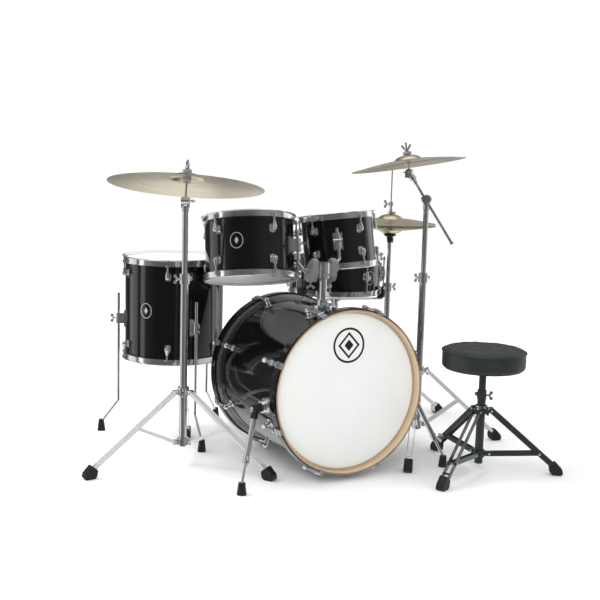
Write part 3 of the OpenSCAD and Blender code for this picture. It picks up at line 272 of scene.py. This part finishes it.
class Paint:
    """Short ways to add texture nodes to a material."""

    def __init__(self, material):
        self.nodes = material.node_tree.nodes
        self.links = material.node_tree.links
        self.shader = self.nodes["Principled BSDF"]
        self.coords = self.nodes.new("ShaderNodeTexCoord").outputs["Object"]

    def stretched(self, scale):
        mapping = self.nodes.new("ShaderNodeMapping")
        mapping.inputs["Scale"].default_value = scale
        self.links.new(self.coords, mapping.inputs["Vector"])
        return mapping.outputs["Vector"]

    def noise(self, scale, detail=3.0, vector=None):
        node = self.nodes.new("ShaderNodeTexNoise")
        node.inputs["Scale"].default_value = scale
        node.inputs["Detail"].default_value = detail
        self.links.new(vector or self.coords, node.inputs["Vector"])
        return node.outputs["Fac"]

    def cells(self, scale, feature="DISTANCE_TO_EDGE"):
        node = self.nodes.new("ShaderNodeTexVoronoi")
        node.feature = feature
        node.inputs["Scale"].default_value = scale
        self.links.new(self.coords, node.inputs["Vector"])
        return node.outputs["Distance"]

    def color(self, value, stops):
        node = ramp(self.nodes, stops)
        self.links.new(value, node.inputs["Fac"])
        self.links.new(node.outputs["Color"], self.shader.inputs["Base Color"])

    def roughness(self, value, low, high):
        node = self.nodes.new("ShaderNodeMapRange")
        node.inputs["From Min"].default_value = 0.3
        node.inputs["From Max"].default_value = 0.7
        node.inputs["To Min"].default_value = low
        node.inputs["To Max"].default_value = high
        self.links.new(value, node.inputs["Value"])
        self.links.new(node.outputs["Result"], self.shader.inputs["Roughness"])

    def bump(self, value, strength, depth, under=None):
        node = self.nodes.new("ShaderNodeBump")
        node.inputs["Strength"].default_value = strength
        node.inputs["Distance"].default_value = depth
        self.links.new(value, node.inputs["Height"])
        if under:
            self.links.new(under, node.inputs["Normal"])
        self.links.new(node.outputs["Normal"], self.shader.inputs["Normal"])
        return node.outputs["Normal"]

    def feed(self, node, values):
        """Links outputs to a node's sockets in order, or sets them where they are plain values."""
        for socket, value in zip(node.inputs, values):
            if isinstance(value, bpy.types.NodeSocket):
                self.links.new(value, socket)
            else:
                socket.default_value = value
        return node

    def math(self, operation, a, b=0):
        node = self.nodes.new("ShaderNodeMath")
        node.operation = operation
        return self.feed(node, (a, b)).outputs[0]

    def vector(self, operation, a, b):
        node = self.nodes.new("ShaderNodeVectorMath")
        node.operation = operation
        return self.feed(node, (a, b))

    def combine(self, x, y, z):
        return self.feed(self.nodes.new("ShaderNodeCombineXYZ"), (x, y, z)).outputs[0]

    def round_axis(self, origin, axis):
        """(distance from the axis, bearing round it, height along it) of the surface."""
        arm = self.vector("SUBTRACT", self.coords, origin).outputs["Vector"]
        first = axis.orthogonal().normalized()
        second = axis.cross(first)
        u, v, h = [self.vector("DOT_PRODUCT", arm, d).outputs["Value"] for d in (first, second, axis)]
        square = self.math("ADD", self.math("MULTIPLY", u, u), self.math("MULTIPLY", v, v))
        return self.math("SQRT", square), self.math("ARCTAN2", u, v), h


def lacquer():
    material = make_material(
        "black_lacquer", (0.004, 0.004, 0.0045), 0.08, Coat_Weight=0.6, Coat_Roughness=0.03
    )
    paint = Paint(material)
    paint.roughness(paint.noise(9), 0.06, 0.12)
    paint.bump(paint.noise(260, 2), 0.04, 0.2 * MM)
    return material


def chrome(name="chrome", tint=(0.82, 0.83, 0.85), rough=(0.035, 0.10), metallic=0.93):
    material = make_material(name, tint, rough[0], metallic)
    paint = Paint(material)
    paint.roughness(paint.noise(38, 4), *rough)
    paint.bump(paint.noise(700, 2), 0.03, 0.05 * MM)
    return material


def cast_metal():
    material = make_material("cast_metal", (0.40, 0.40, 0.41), 0.38, 0.7)
    paint = Paint(material)
    paint.color(paint.noise(420, 3), [(0.35, (0.32, 0.32, 0.33)), (0.65, (0.48, 0.48, 0.49))])
    paint.roughness(paint.noise(60), 0.32, 0.48)
    paint.bump(paint.noise(900, 3), 0.5, 0.4 * MM)
    return material


def brushed_steel():
    material = make_material("brushed_steel", (0.48, 0.48, 0.50), 0.3, 1.0)
    paint = Paint(material)
    lines = paint.noise(60, 4, paint.stretched((40, 1, 40)))
    paint.roughness(lines, 0.2, 0.42)
    paint.bump(lines, 0.12, 0.05 * MM)
    return material


def drumhead():
    material = make_material("coated_head", (0.72, 0.73, 0.715), 0.5, Specular_IOR_Level=0.35)
    paint = Paint(material)
    paint.color(paint.noise(6, 3), [(0.3, (0.70, 0.715, 0.70)), (0.7, (0.735, 0.748, 0.73))])
    paint.roughness(paint.noise(40), 0.42, 0.58)
    paint.bump(paint.noise(1400, 2), 0.25, 0.06 * MM)
    return material


def maple(name, light, dark, drum):
    """Clear-coated wood with its grain running round a drum's hoop."""
    material = make_material(name, light, 0.35, Coat_Weight=0.4, Coat_Roughness=0.12)
    paint = Paint(material)
    radius, bearing, height = paint.round_axis(drum.centre, drum.axis)
    grain = paint.combine(
        paint.math("MULTIPLY", radius, 300), paint.math("MULTIPLY", bearing, 2.2),
        paint.math("MULTIPLY", height, 260),
    )
    fibre = paint.noise(1.6, 5, grain)
    paint.color(fibre, [(0.3, dark), (0.62, light)])
    paint.roughness(fibre, 0.28, 0.42)
    paint.bump(fibre, 0.15, 0.15 * MM)
    return material


def bronze(name, joint, node, light, deep):
    """Lathed bronze: fine rings round the cymbal's axis, with faint hammering. A slide has no
    place of its own, so the rings are then centred on the node's box."""
    low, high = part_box(node)
    pivot = Vector(JOINTS[joint].get("pos_m", (low + high) / 2))
    axis = Vector(JOINTS[joint]["axis"]).normalized()
    material = make_material(name, light, 0.24, 1.0)
    paint = Paint(material)
    radius, bearing, _ = paint.round_axis(pivot, axis)
    rings = paint.noise(1, 4, paint.combine(paint.math("MULTIPLY", radius, 900), 0, 0))
    bands = paint.noise(1, 2, paint.combine(paint.math("MULTIPLY", radius, 60), bearing, 0))
    paint.color(bands, [(0.3, deep), (0.7, light)])
    paint.roughness(rings, 0.17, 0.36)
    hammered = paint.bump(paint.cells(52, "SMOOTH_F1"), 0.1, 0.6 * MM)
    paint.bump(rings, 0.35, 0.12 * MM, hammered)
    return material


def rubber():
    material = make_material("black_rubber", (0.012, 0.012, 0.013), 0.6, Specular_IOR_Level=0.4)
    paint = Paint(material)
    paint.color(paint.noise(90, 4), [(0.3, (0.009, 0.009, 0.01)), (0.7, (0.02, 0.02, 0.021))])
    paint.roughness(paint.noise(60), 0.5, 0.72)
    paint.bump(paint.noise(1100, 3), 0.3, 0.2 * MM)
    return material


def enamel():
    material = make_material(
        "slate_enamel", (0.018, 0.026, 0.027), 0.34, Coat_Weight=0.25, Coat_Roughness=0.2
    )
    paint = Paint(material)
    paint.color(paint.noise(14, 4), [(0.3, (0.016, 0.023, 0.024)), (0.7, (0.024, 0.033, 0.034))])
    paint.roughness(paint.noise(55), 0.28, 0.42)
    paint.bump(paint.noise(800, 3), 0.12, 0.1 * MM)
    return material


def vinyl():
    material = make_material("seat_vinyl", (0.018, 0.024, 0.025), 0.48, Specular_IOR_Level=0.45)
    paint = Paint(material)
    paint.color(paint.noise(25, 5), [(0.3, (0.014, 0.019, 0.020)), (0.7, (0.020, 0.027, 0.028))])
    paint.roughness(paint.noise(35), 0.42, 0.56)
    grain = paint.bump(paint.cells(750), 0.35, 0.18 * MM)
    paint.bump(paint.noise(1600, 3), 0.2, 0.08 * MM, grain)
    return material


def felt(name, light, dark):
    material = make_material(name, light, 0.95, Sheen_Weight=0.4, Sheen_Roughness=0.5)
    paint = Paint(material)
    fibre = paint.noise(900, 6)
    paint.color(fibre, [(0.35, dark), (0.65, light)])
    paint.bump(fibre, 0.8, 0.5 * MM)
    return material


# ---------- measures taken from the frame ----------

class Drum:
    """Centre, axis and radius of a drum, from its shell and the flat of its heads."""

    def __init__(self, prefix, front=UP):
        shell = frame["nodes"][prefix + "_shell"]
        heads = frame["nodes"][prefix + "_heads"]
        low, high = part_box(prefix + "_shell")
        self.centre = (low + high) / 2
        facing = {}
        for face in heads.data.polygons:
            key = tuple(round(c, 3) for c in face.normal)
            facing[key] = facing.get(key, 0) + face.area
        axis = Vector(max(facing, key=facing.get)).normalized()
        self.axis = axis if axis.dot(front) > 0 else -axis
        self.radius = max(self.out(v.co) for v in shell.data.vertices)

    def along(self, point):
        """Height of a point above the middle of the drum, along its axis."""
        return (point - self.centre).dot(self.axis)

    def out(self, point):
        """Distance of a point from the drum's axis."""
        arm = point - self.centre
        return (arm - self.axis * arm.dot(self.axis)).length

    def side(self, bearing):
        """Direction out of the shell at a bearing in degrees, square to the axis."""
        flat = heading(bearing)
        return (flat - self.axis * flat.dot(self.axis)).normalized()


def heading(bearing):
    """Level direction at a bearing in degrees, from +X towards +Y."""
    return Vector((math.cos(math.radians(bearing)), math.sin(math.radians(bearing)), 0))


def stand_axis(node):
    """Foot of a stand's upright: the middle of the points at the top of its tube, on the floor."""
    low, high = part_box(node)
    top = [v.co for v in frame["nodes"][node].data.vertices if v.co.z > high.z - 4 * MM]
    middle = sum(top, Vector()) / len(top)
    return Vector((middle.x, middle.y, 0))


def level_distance(point, axis_point):
    return math.hypot(point.x - axis_point.x, point.y - axis_point.y)


# ---------- mesh helpers ----------

def paint_node(node, base, *zones):
    """Base material for a CAD node, and others for faces whose middle lies in a zone."""
    mesh = frame["nodes"][node].data
    mesh.materials.clear()
    for material in [base] + [m for m, _ in zones]:
        mesh.materials.append(material)
    for face in mesh.polygons:
        hits = [i for i, (_, inside) in enumerate(zones) if inside(face.center)]
        face.material_index = hits[0] + 1 if hits else 0


def new_piece(name, mesh, material, body, smooth=True):
    obj = bpy.data.objects.new(name, mesh)
    bpy.context.scene.collection.objects.link(obj)
    mesh.materials.append(material)
    for face in mesh.polygons:
        face.use_smooth = smooth
    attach(obj, body)
    return obj


def mesh_from(bm, name):
    mesh = bpy.data.meshes.new(name)
    bm.to_mesh(mesh)
    bm.free()
    return mesh


def side_frame(origin, axis):
    """Matrix whose Z is the axis, at the origin."""
    return Matrix.Translation(origin) @ axis.to_track_quat("Z", "Y").to_matrix().to_4x4()


def lathe_mesh(name, profile, origin, axis, segments=72):
    """Closed solid of revolution. The profile's (radius, height) points start and end at radius 0,
    or close on themselves where they never reach the axis."""
    bm = bmesh.new()
    rings = []
    turns = [2 * math.pi * i / segments for i in range(segments)]
    for radius, height in profile:
        points = [(radius * math.cos(t), radius * math.sin(t), height) for t in turns]
        if radius == 0:
            points = [(0, 0, height)]
        rings.append([bm.verts.new(point) for point in points])
    pairs = list(zip(rings, rings[1:]))
    if len(rings[0]) > 1:
        pairs.append((rings[-1], rings[0]))
    for a, b in pairs:
        for i in range(segments):
            j = (i + 1) % segments
            if len(a) == 1:
                bm.faces.new((a[0], b[j], b[i]))
            elif len(b) == 1:
                bm.faces.new((a[i], a[j], b[0]))
            else:
                bm.faces.new((a[i], a[j], b[j], b[i]))
    bmesh.ops.recalc_face_normals(bm, faces=bm.faces)
    bm.transform(side_frame(origin, axis))
    return mesh_from(bm, name)


def rounded(radius, low, high, edge, steps=5, inner=0.0):
    """Profile of a disc or ring with rounded outer edges."""
    arc = [math.pi / 2 * i / steps for i in range(steps + 1)]
    bottom = [(radius - edge + edge * math.sin(t), low + edge - edge * math.cos(t)) for t in arc]
    top = [(radius - edge + edge * math.cos(t), high - edge + edge * math.sin(t)) for t in arc]
    return [(inner, low)] + bottom + top + [(inner, high)]


DRUMS = {
    "bass": Drum("bass", front=Vector((0, -1, 0))),
    "left_tom": Drum("left_tom"),
    "right_tom": Drum("right_tom"),
    "floor_tom": Drum("floor_tom"),
    "snare": Drum("snare"),
}
POST = Vector(JOINTS["left_tom_tilt"]["pos_m"])


# ---------- the pieces ----------

def gasket_zone(drum):
    """The shell side of a drum's fittings, where their black gaskets are."""
    return lambda p: drum.out(p) < drum.radius + GASKET


def foot_zone(axis_point, reach):
    """The rubber feet of a tripod whose feet reach that far from its upright: what lies beyond a
    plane square to its legs, near the floor."""
    def inside(p):
        past_ankle = level_distance(p, axis_point) - (reach - FOOT_ANKLE)
        along_leg = past_ankle * math.cos(LEG_SLOPE) - p.z * math.sin(LEG_SLOPE)
        return along_leg > -FOOT_LENGTH and past_ankle > -FOOT_BACK
    return inside


def tripod_reach(node, axis_point):
    """How far a node's farthest point is from a tripod's upright."""
    return max(level_distance(v.co, axis_point) for v in frame["nodes"][node].data.vertices)


def dress_drums(m):
    for prefix, drum in DRUMS.items():
        paint_node(prefix + "_shell", m["lacquer"])
        rim = drum.radius + FLESH_HOOP
        paint_node(
            prefix + "_heads", m["head"], (m["chrome"], lambda p, d=drum, r=rim: d.out(p) > r)
        )
        if prefix != "bass":
            paint_node(prefix + "_hoops", m["chrome"])
        paint_node(prefix + "_hardware", m["chrome"], (m["rubber"], gasket_zone(drum)))
    bass = DRUMS["bass"]
    hoops = frame["nodes"]["bass_hoops"].data.vertices
    front = max(bass.along(v.co) for v in hoops)
    inner = min(bass.out(v.co) for v in hoops)
    paint_node(
        "bass_hoops", m["lacquer"],
        (m["edge_wood"], lambda p: bass.along(p) > front - HOOP_EDGE),
        (m["hoop_wood"], lambda p: bass.along(p) > 0 and bass.out(p) < inner + HOOP_FACE),
    )


def dress_stands(m):
    for node in ("crash_stand_base", "hihat_stand_base", "snare_stand_base"):
        axis_point = stand_axis(node)
        paint_node(
            node, m["chrome"], (m["rubber"], foot_zone(axis_point, FEET[node])),
            (m["legs"], lambda p, a=axis_point: level_distance(p, a) > COLLAR_REACH),
        )
    ride = stand_axis("ride_stand_base")
    paint_node("ride_stand_base", m["chrome"])
    paint_node("ride_leg_collar", m["chrome"])
    for i in (1, 2, 3):
        leg = f"ride_leg_{i}"
        paint_node(leg, m["legs"], (m["rubber"], foot_zone(ride, tripod_reach(leg, ride))))
        paint_node(f"ride_brace_{i}", m["legs"])
    for node in ("ride_upper_tube", "ride_tilter", "crash_upper_tube", "crash_boom_arm", "crash_tilter"):
        paint_node(node, m["chrome"])
    for side in ("left", "right"):
        spur = "spur_" + side
        hinge = Vector(JOINTS[spur + "_fold"]["pos_m"])
        paint_node(
            spur, m["chrome"],
            (m["rubber"], lambda p: p.z < SPUR_FOOT),
            (m["rubber"], lambda p, h=hinge: (p - h).length < SPUR_BOSS),
        )
        paint_node(side + "_tom_arm", m["chrome"], (m["cast"], near_holder))
    paint_node("tom_holder", m["chrome"], (m["cast"], lambda p: abs(p.x - POST.x) > HOLDER_BLOCK))
    for i in (1, 2, 3):
        paint_node(f"floor_tom_leg_{i}", m["chrome"], (m["rubber"], lambda p: p.z < FLOOR_TOM_FOOT))


def near_holder(p):
    """The cast side plates of the tom holder."""
    x, y, down = HOLDER_PLATES
    return abs(p.x - POST.x) < x and abs(p.y - POST.y) < y and p.z > POST.z - down


def dress_snare_stand(m):
    axis_point = stand_axis("snare_stand_base")
    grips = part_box("snare_basket")[1].z - GRIP_HEIGHT
    paint_node(
        "snare_basket", m["chrome"],
        (m["rubber"], lambda p: p.z > grips and level_distance(p, axis_point) > GRIP_REACH),
    )
    paint_node("snare_wires", m["steel"])


def dress_hihat(m):
    axis_point = stand_axis("hihat_stand_base")
    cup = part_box("hihat_upper_tube")[1].z - CUP_HEIGHT
    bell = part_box("hihat_top_cymbal")[1].z
    paint_node(
        "hihat_upper_tube", m["chrome"],
        (m["rubber"], lambda p: p.z > cup and level_distance(p, axis_point) > CUP_REACH),
    )
    paint_node("hihat_pull_rod", m["chrome"])
    paint_node("hihat_footboard", m["steel"])
    for node in ("hihat_top_cymbal", "hihat_bottom_cymbal"):
        paint_node(node, m["hihat_bronze"])
    top = Vector((axis_point.x, axis_point.y, bell))
    felt_ring("hihat_clutch_felt_top", m["felt"], top, UP, CLUTCH_FELT, "hihat_pull")


def felt_ring(name, material, bell, axis, size, body):
    """Felt washer round a cymbal rod, of a size (low end, high end, radius) from the bell's top."""
    low, high, radius = size
    profile = rounded(radius, low, high, 3.2 * MM, inner=5 * MM)
    new_piece(name, lathe_mesh(name, profile, bell, axis), material, body)


def dress_cymbals(m):
    for name in ("ride", "crash"):
        joint = JOINTS[name + "_spin"]
        pivot = Vector(joint["pos_m"])
        axis = Vector(joint["axis"]).normalized()
        cymbal = frame["nodes"][name + "_cymbal"].data
        bell = pivot + axis * max((v.co - pivot).dot(axis) for v in cymbal.vertices)
        paint_node(name + "_cymbal", m[name + "_bronze"])
        body = name + "_tilter"
        felt_ring(name + "_felt_top", m["felt"], bell, axis, UPPER_FELT, body)
        felt_ring(name + "_felt_low", m["felt"], bell, axis, LOWER_FELT, body)


def dress_throne(m):
    axis_point = stand_axis("throne_post")
    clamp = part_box("throne_base")[1].z - CLAMP_HEIGHT
    paint_node(
        "throne_base", m["enamel"],
        (m["rubber"], foot_zone(axis_point, FEET["throne_base"])),
        (m["chrome"], lambda p: p.z > clamp and level_distance(p, axis_point) > CLAMP_REACH),
    )
    paint_node("throne_post", m["enamel"])
    build_seat(m, axis_point)
    build_rivets(m, axis_point)


def build_seat(m, axis_point):
    """Vinyl cushion blown up by a short cloth simulation, with its piping, board and bracket."""
    low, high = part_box("throne_seat")
    radius = (high.x - low.x) / 2
    floor = high.z - SEAT_THICK
    base = Vector((axis_point.x, axis_point.y, 0))
    room = SEAT_SWELL + 0.8 * MM
    profile = rounded(radius - room, floor + 1 * MM, high.z - room, 8 * MM, steps=6)
    mesh = lathe_mesh("throne_cushion", profile, base, UP, 96)
    cushion = new_piece("throne_cushion", mesh, m["vinyl"], "throne_seat")
    inflate(cushion, floor, SEAT_SWELL)
    subdivide = cushion.modifiers.new("smooth", "SUBSURF")
    subdivide.levels = 1
    subdivide.render_levels = 1
    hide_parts("throne_seat")

    seam = high.z - PIPING_DROP
    band = [
        (radius - 6 * MM, seam - 1.8 * MM), (radius - 1.4 * MM, seam - 1.4 * MM),
        (radius - 0.6 * MM, seam), (radius - 1.4 * MM, seam + 1.4 * MM), (radius - 6 * MM, seam + 2 * MM),
    ]
    piping = lathe_mesh("throne_seat_piping", band, base, UP, 128)
    new_piece("throne_seat_piping", piping, m["vinyl"], "throne_seat")

    slab = rounded(radius - 12 * MM, floor - 1.5 * MM, floor + 3 * MM, 1.5 * MM)
    board = lathe_mesh("throne_seat_board", slab, base, UP, 96)
    new_piece("throne_seat_board", board, m["rubber"], "throne_seat")

    plate_low, plate_top = floor - 4.2 * MM, floor - 1.2 * MM
    socket = [
        (SOCKET_BORE, low.z), (14 * MM, low.z), (15 * MM, low.z + 2 * MM), (15 * MM, floor - 6 * MM),
        (20 * MM, plate_low), (60 * MM, plate_low), (60 * MM, plate_top), (SOCKET_BORE, plate_top),
    ]
    bracket = lathe_mesh("throne_seat_bracket", socket, base, UP, 64)
    new_piece("throne_seat_bracket", bracket, m["enamel"], "throne_seat", smooth=False)


def inflate(obj, floor, cap):
    """Remeshes a closed pad and swells it with cloth pressure, outwards by no more than the cap.
    Its underside stays pinned to the board."""
    remesh = obj.modifiers.new("remesh", "REMESH")
    remesh.mode = "VOXEL"
    remesh.voxel_size = VOXEL
    remesh.use_smooth_shade = True
    apply_modifiers(obj)
    start = np.array([v.co for v in obj.data.vertices])
    pins = obj.vertex_groups.new(name="pins")
    for v in obj.data.vertices:
        if v.co.z < floor + SEAT_PINNED:
            pins.add([v.index], 1.0, "REPLACE")
    cloth = obj.modifiers.new("cloth", "CLOTH")
    cloth.settings.quality = 6
    cloth.settings.use_pressure = True
    cloth.settings.uniform_pressure_force = 4.0
    cloth.settings.effector_weights.gravity = 0.0
    cloth.settings.vertex_group_mass = "pins"
    cloth.point_cache.frame_start = 1
    cloth.point_cache.frame_end = CLOTH_FRAMES
    for step in range(1, CLOTH_FRAMES + 1):
        bpy.context.scene.frame_set(step)
    swollen = obj.evaluated_get(bpy.context.evaluated_depsgraph_get())
    moved = np.array([v.co for v in swollen.data.vertices]) - start
    outward = np.array([v.normal for v in obj.data.vertices])
    swell = np.clip((moved * outward).sum(axis=1), 0.0, cap)
    obj.modifiers.remove(cloth)
    bpy.context.scene.frame_set(1)
    for v, point in zip(obj.data.vertices, start + outward * swell[:, None]):
        v.co = point
    obj.vertex_groups.clear()


def apply_modifiers(obj):
    mesh = bpy.data.meshes.new_from_object(obj.evaluated_get(bpy.context.evaluated_depsgraph_get()))
    obj.modifiers.clear()
    obj.data = mesh


def build_rivets(m, axis_point):
    """Bright domed rivets at the throne's leg and brace joints, on both sides of each leg."""
    bm = bmesh.new()
    for turn in THRONE_TURNS:
        out = heading(turn)
        across = Vector((-out.y, out.x, 0))
        for radius, height, half in RIVETS:
            for side in (-1, 1):
                place = axis_point + out * radius * MM + UP * height * MM + across * side * half * MM
                dome = side_frame(place, across * side) @ Matrix.Diagonal((1, 1, 0.5, 1))
                bmesh.ops.create_uvsphere(bm, u_segments=16, v_segments=8, radius=4.2 * MM, matrix=dome)
    new_piece("throne_rivets", mesh_from(bm, "throne_rivets"), m["chrome"], ROOT)


def dress_pedal(m):
    for node in ("kick_pedal_frame", "kick_footboard", "kick_chain"):
        paint_node(node, m["steel"])
    low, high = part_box("kick_beater")
    middle = high.z - BEATER_DROP
    ends = [v.co.y for v in frame["nodes"]["kick_beater"].data.vertices if v.co.z > middle]
    head = Vector(((low.x + high.x) / 2, (min(ends) + max(ends)) / 2, middle))
    paint_node(
        "kick_beater", m["chrome"], (m["white_felt"], lambda p: (p - head).length < BEATER_REACH)
    )


def flat_shape(bm, matrix, outline, thickness):
    """Thin prism in a matrix's XY plane. Its outline of (x, y) points is its own mirror image in
    the X axis and starts on that axis, and its faces are strips across X, so that it can bend."""
    bottom = [bm.verts.new(matrix @ Vector((x, y, 0))) for x, y in outline]
    top = [bm.verts.new(matrix @ Vector((x, y, thickness))) for x, y in outline]
    n = len(outline)
    for i in range(n // 2):
        strip = list(dict.fromkeys((i, i + 1, n - i - 1, (n - i) % n)))
        bm.faces.new([bottom[k] for k in reversed(strip)])
        bm.faces.new([top[k] for k in strip])
    for i in range(n):
        j = (i + 1) % n
        bm.faces.new((bottom[i], bottom[j], top[j], top[i]))


def flat_ring(bm, matrix, outer, inner, thickness):
    """Thin ring between two outlines with the same number of points."""
    n = len(outer)
    loops = [
        [bm.verts.new(matrix @ Vector((x, y, z))) for x, y in points]
        for points, z in ((outer, 0), (outer, thickness), (inner, thickness), (inner, 0))
    ]
    for a, b in zip(loops, loops[1:] + loops[:1]):
        for i in range(n):
            j = (i + 1) % n
            bm.faces.new((a[i], a[j], b[j], b[i]))


def oval(width, height, points=40):
    turns = [2 * math.pi * i / points for i in range(points)]
    return [(width * math.cos(t), height * math.sin(t)) for t in turns]


def diamond(width, height):
    return [(width, 0), (0, height), (-width, 0), (0, -height)]


def build_badges(m):
    """Plain oval plates on three shells, each with a bright border and a small lozenge."""
    flat = Matrix.Translation(UP * PLATE_GAP)
    w, h = BADGE_HALF
    for prefix, bearing, lift, body in BADGES:
        for kind, material in (("plate", m["lacquer"]), ("border", m["satin"])):
            bm = bmesh.new()
            if kind == "plate":
                flat_shape(bm, flat, oval(w, h), 1.0 * MM)
            else:
                outer, inner = oval(w + BORDER, h + BORDER), oval(w - BORDER, h - BORDER)
                flat_ring(bm, flat, outer, inner, 1.6 * MM)
                flat_shape(bm, flat, diamond(7 * MM, 12 * MM), 1.4 * MM)
            bmesh.ops.recalc_face_normals(bm, faces=bm.faces)
            wrap_round(bm, DRUMS[prefix], bearing, lift * MM)
            name = f"{prefix}_badge_{kind}"
            new_piece(name, mesh_from(bm, name), material, body, smooth=False)


def wrap_round(bm, drum, bearing, lift):
    """Bends flat shapes round a drum's shell: X goes round it and Y along its axis."""
    out = drum.side(bearing)
    right = drum.axis.cross(out)
    for v in bm.verts:
        turn = v.co.x / drum.radius
        arm = out * math.cos(turn) + right * math.sin(turn)
        v.co = drum.centre + drum.axis * (lift + v.co.y) + arm * (drum.radius + v.co.z)


def build_emblem(m):
    """A plain ring round a double lozenge on the front head, in black."""
    bass = DRUMS["bass"]
    head = frame["nodes"]["bass_heads"]
    face = max(bass.along(f.center) for f in head.data.polygons if bass.out(f.center) < 0.2)
    across = UP.cross(bass.axis).normalized()
    up = bass.axis.cross(across)
    place = bass.centre + bass.axis * (face + 0.05 * MM) + across * EMBLEM_AT[0] + up * EMBLEM_AT[1]
    matrix = Matrix.Translation(place) @ Matrix((across, up, bass.axis)).transposed().to_4x4()
    bm = bmesh.new()
    flat_ring(bm, matrix, oval(58 * MM, 58 * MM, 64), oval(51 * MM, 51 * MM, 64), PRINT_THICK)
    flat_ring(bm, matrix, diamond(40 * MM, 44 * MM), diamond(31 * MM, 34 * MM), PRINT_THICK)
    flat_shape(bm, matrix, diamond(17 * MM, 19 * MM), PRINT_THICK)
    bmesh.ops.recalc_face_normals(bm, faces=bm.faces)
    emblem = mesh_from(bm, "front_head_emblem")
    new_piece("front_head_emblem", emblem, m["print"], ROOT, smooth=False)


def add_floor():
    bm = bmesh.new()
    bmesh.ops.create_circle(bm, cap_ends=True, radius=60, segments=96)
    mesh = mesh_from(bm, "floor")
    floor = bpy.data.objects.new("floor", mesh)
    floor.location.z = -0.5 * MM
    bpy.context.scene.collection.objects.link(floor)
    floor.visible_glossy = False
    material = make_material("floor_white", (0.97, 0.97, 0.97), 0.9, Specular_IOR_Level=0.0)
    mesh.materials.append(material)


def main():
    add_camera()
    add_world()
    add_floor()
    area_light("key", at=(-1.6, 1.2, 3.4), aim=(0, 0, 0.3), size=2.2, power=90)
    area_light("front", at=(-2.4, -3.4, 2.6), aim=(0, 0, 0.5), size=2.0, power=40)
    bass = DRUMS["bass"]
    m = {
        "lacquer": lacquer(),
        "chrome": chrome(),
        "legs": chrome("leg_chrome", (0.90, 0.91, 0.92), (0.10, 0.22), 0.5),
        "cast": cast_metal(),
        "satin": chrome("satin_metal", (0.62, 0.62, 0.63), (0.3, 0.42), 0.5),
        "steel": brushed_steel(),
        "head": drumhead(),
        "hoop_wood": maple("maple_inner", (0.68, 0.52, 0.34), (0.55, 0.40, 0.25), bass),
        "edge_wood": maple("maple_edge", (0.42, 0.28, 0.17), (0.30, 0.19, 0.11), bass),
        "ride_bronze": bronze(
            "ride_bronze", "ride_spin", "ride_cymbal", (0.74, 0.66, 0.52), (0.62, 0.52, 0.38)
        ),
        "crash_bronze": bronze(
            "crash_bronze", "crash_spin", "crash_cymbal", (0.80, 0.72, 0.58), (0.70, 0.61, 0.46)
        ),
        "hihat_bronze": bronze(
            "hihat_bronze", "hihat_pull_travel", "hihat_top_cymbal", (0.78, 0.69, 0.50), (0.64, 0.54, 0.36)
        ),
        "rubber": rubber(),
        "enamel": enamel(),
        "vinyl": vinyl(),
        "felt": felt("grey_felt", (0.30, 0.30, 0.31), (0.17, 0.17, 0.18)),
        "white_felt": felt("white_felt", (0.80, 0.79, 0.75), (0.62, 0.61, 0.57)),
        "print": make_material("head_print", (0.008, 0.008, 0.008), 0.5),
    }
    dress_drums(m)
    dress_stands(m)
    dress_snare_stand(m)
    dress_hihat(m)
    dress_cymbals(m)
    dress_throne(m)
    dress_pedal(m)
    build_badges(m)
    build_emblem(m)


main()
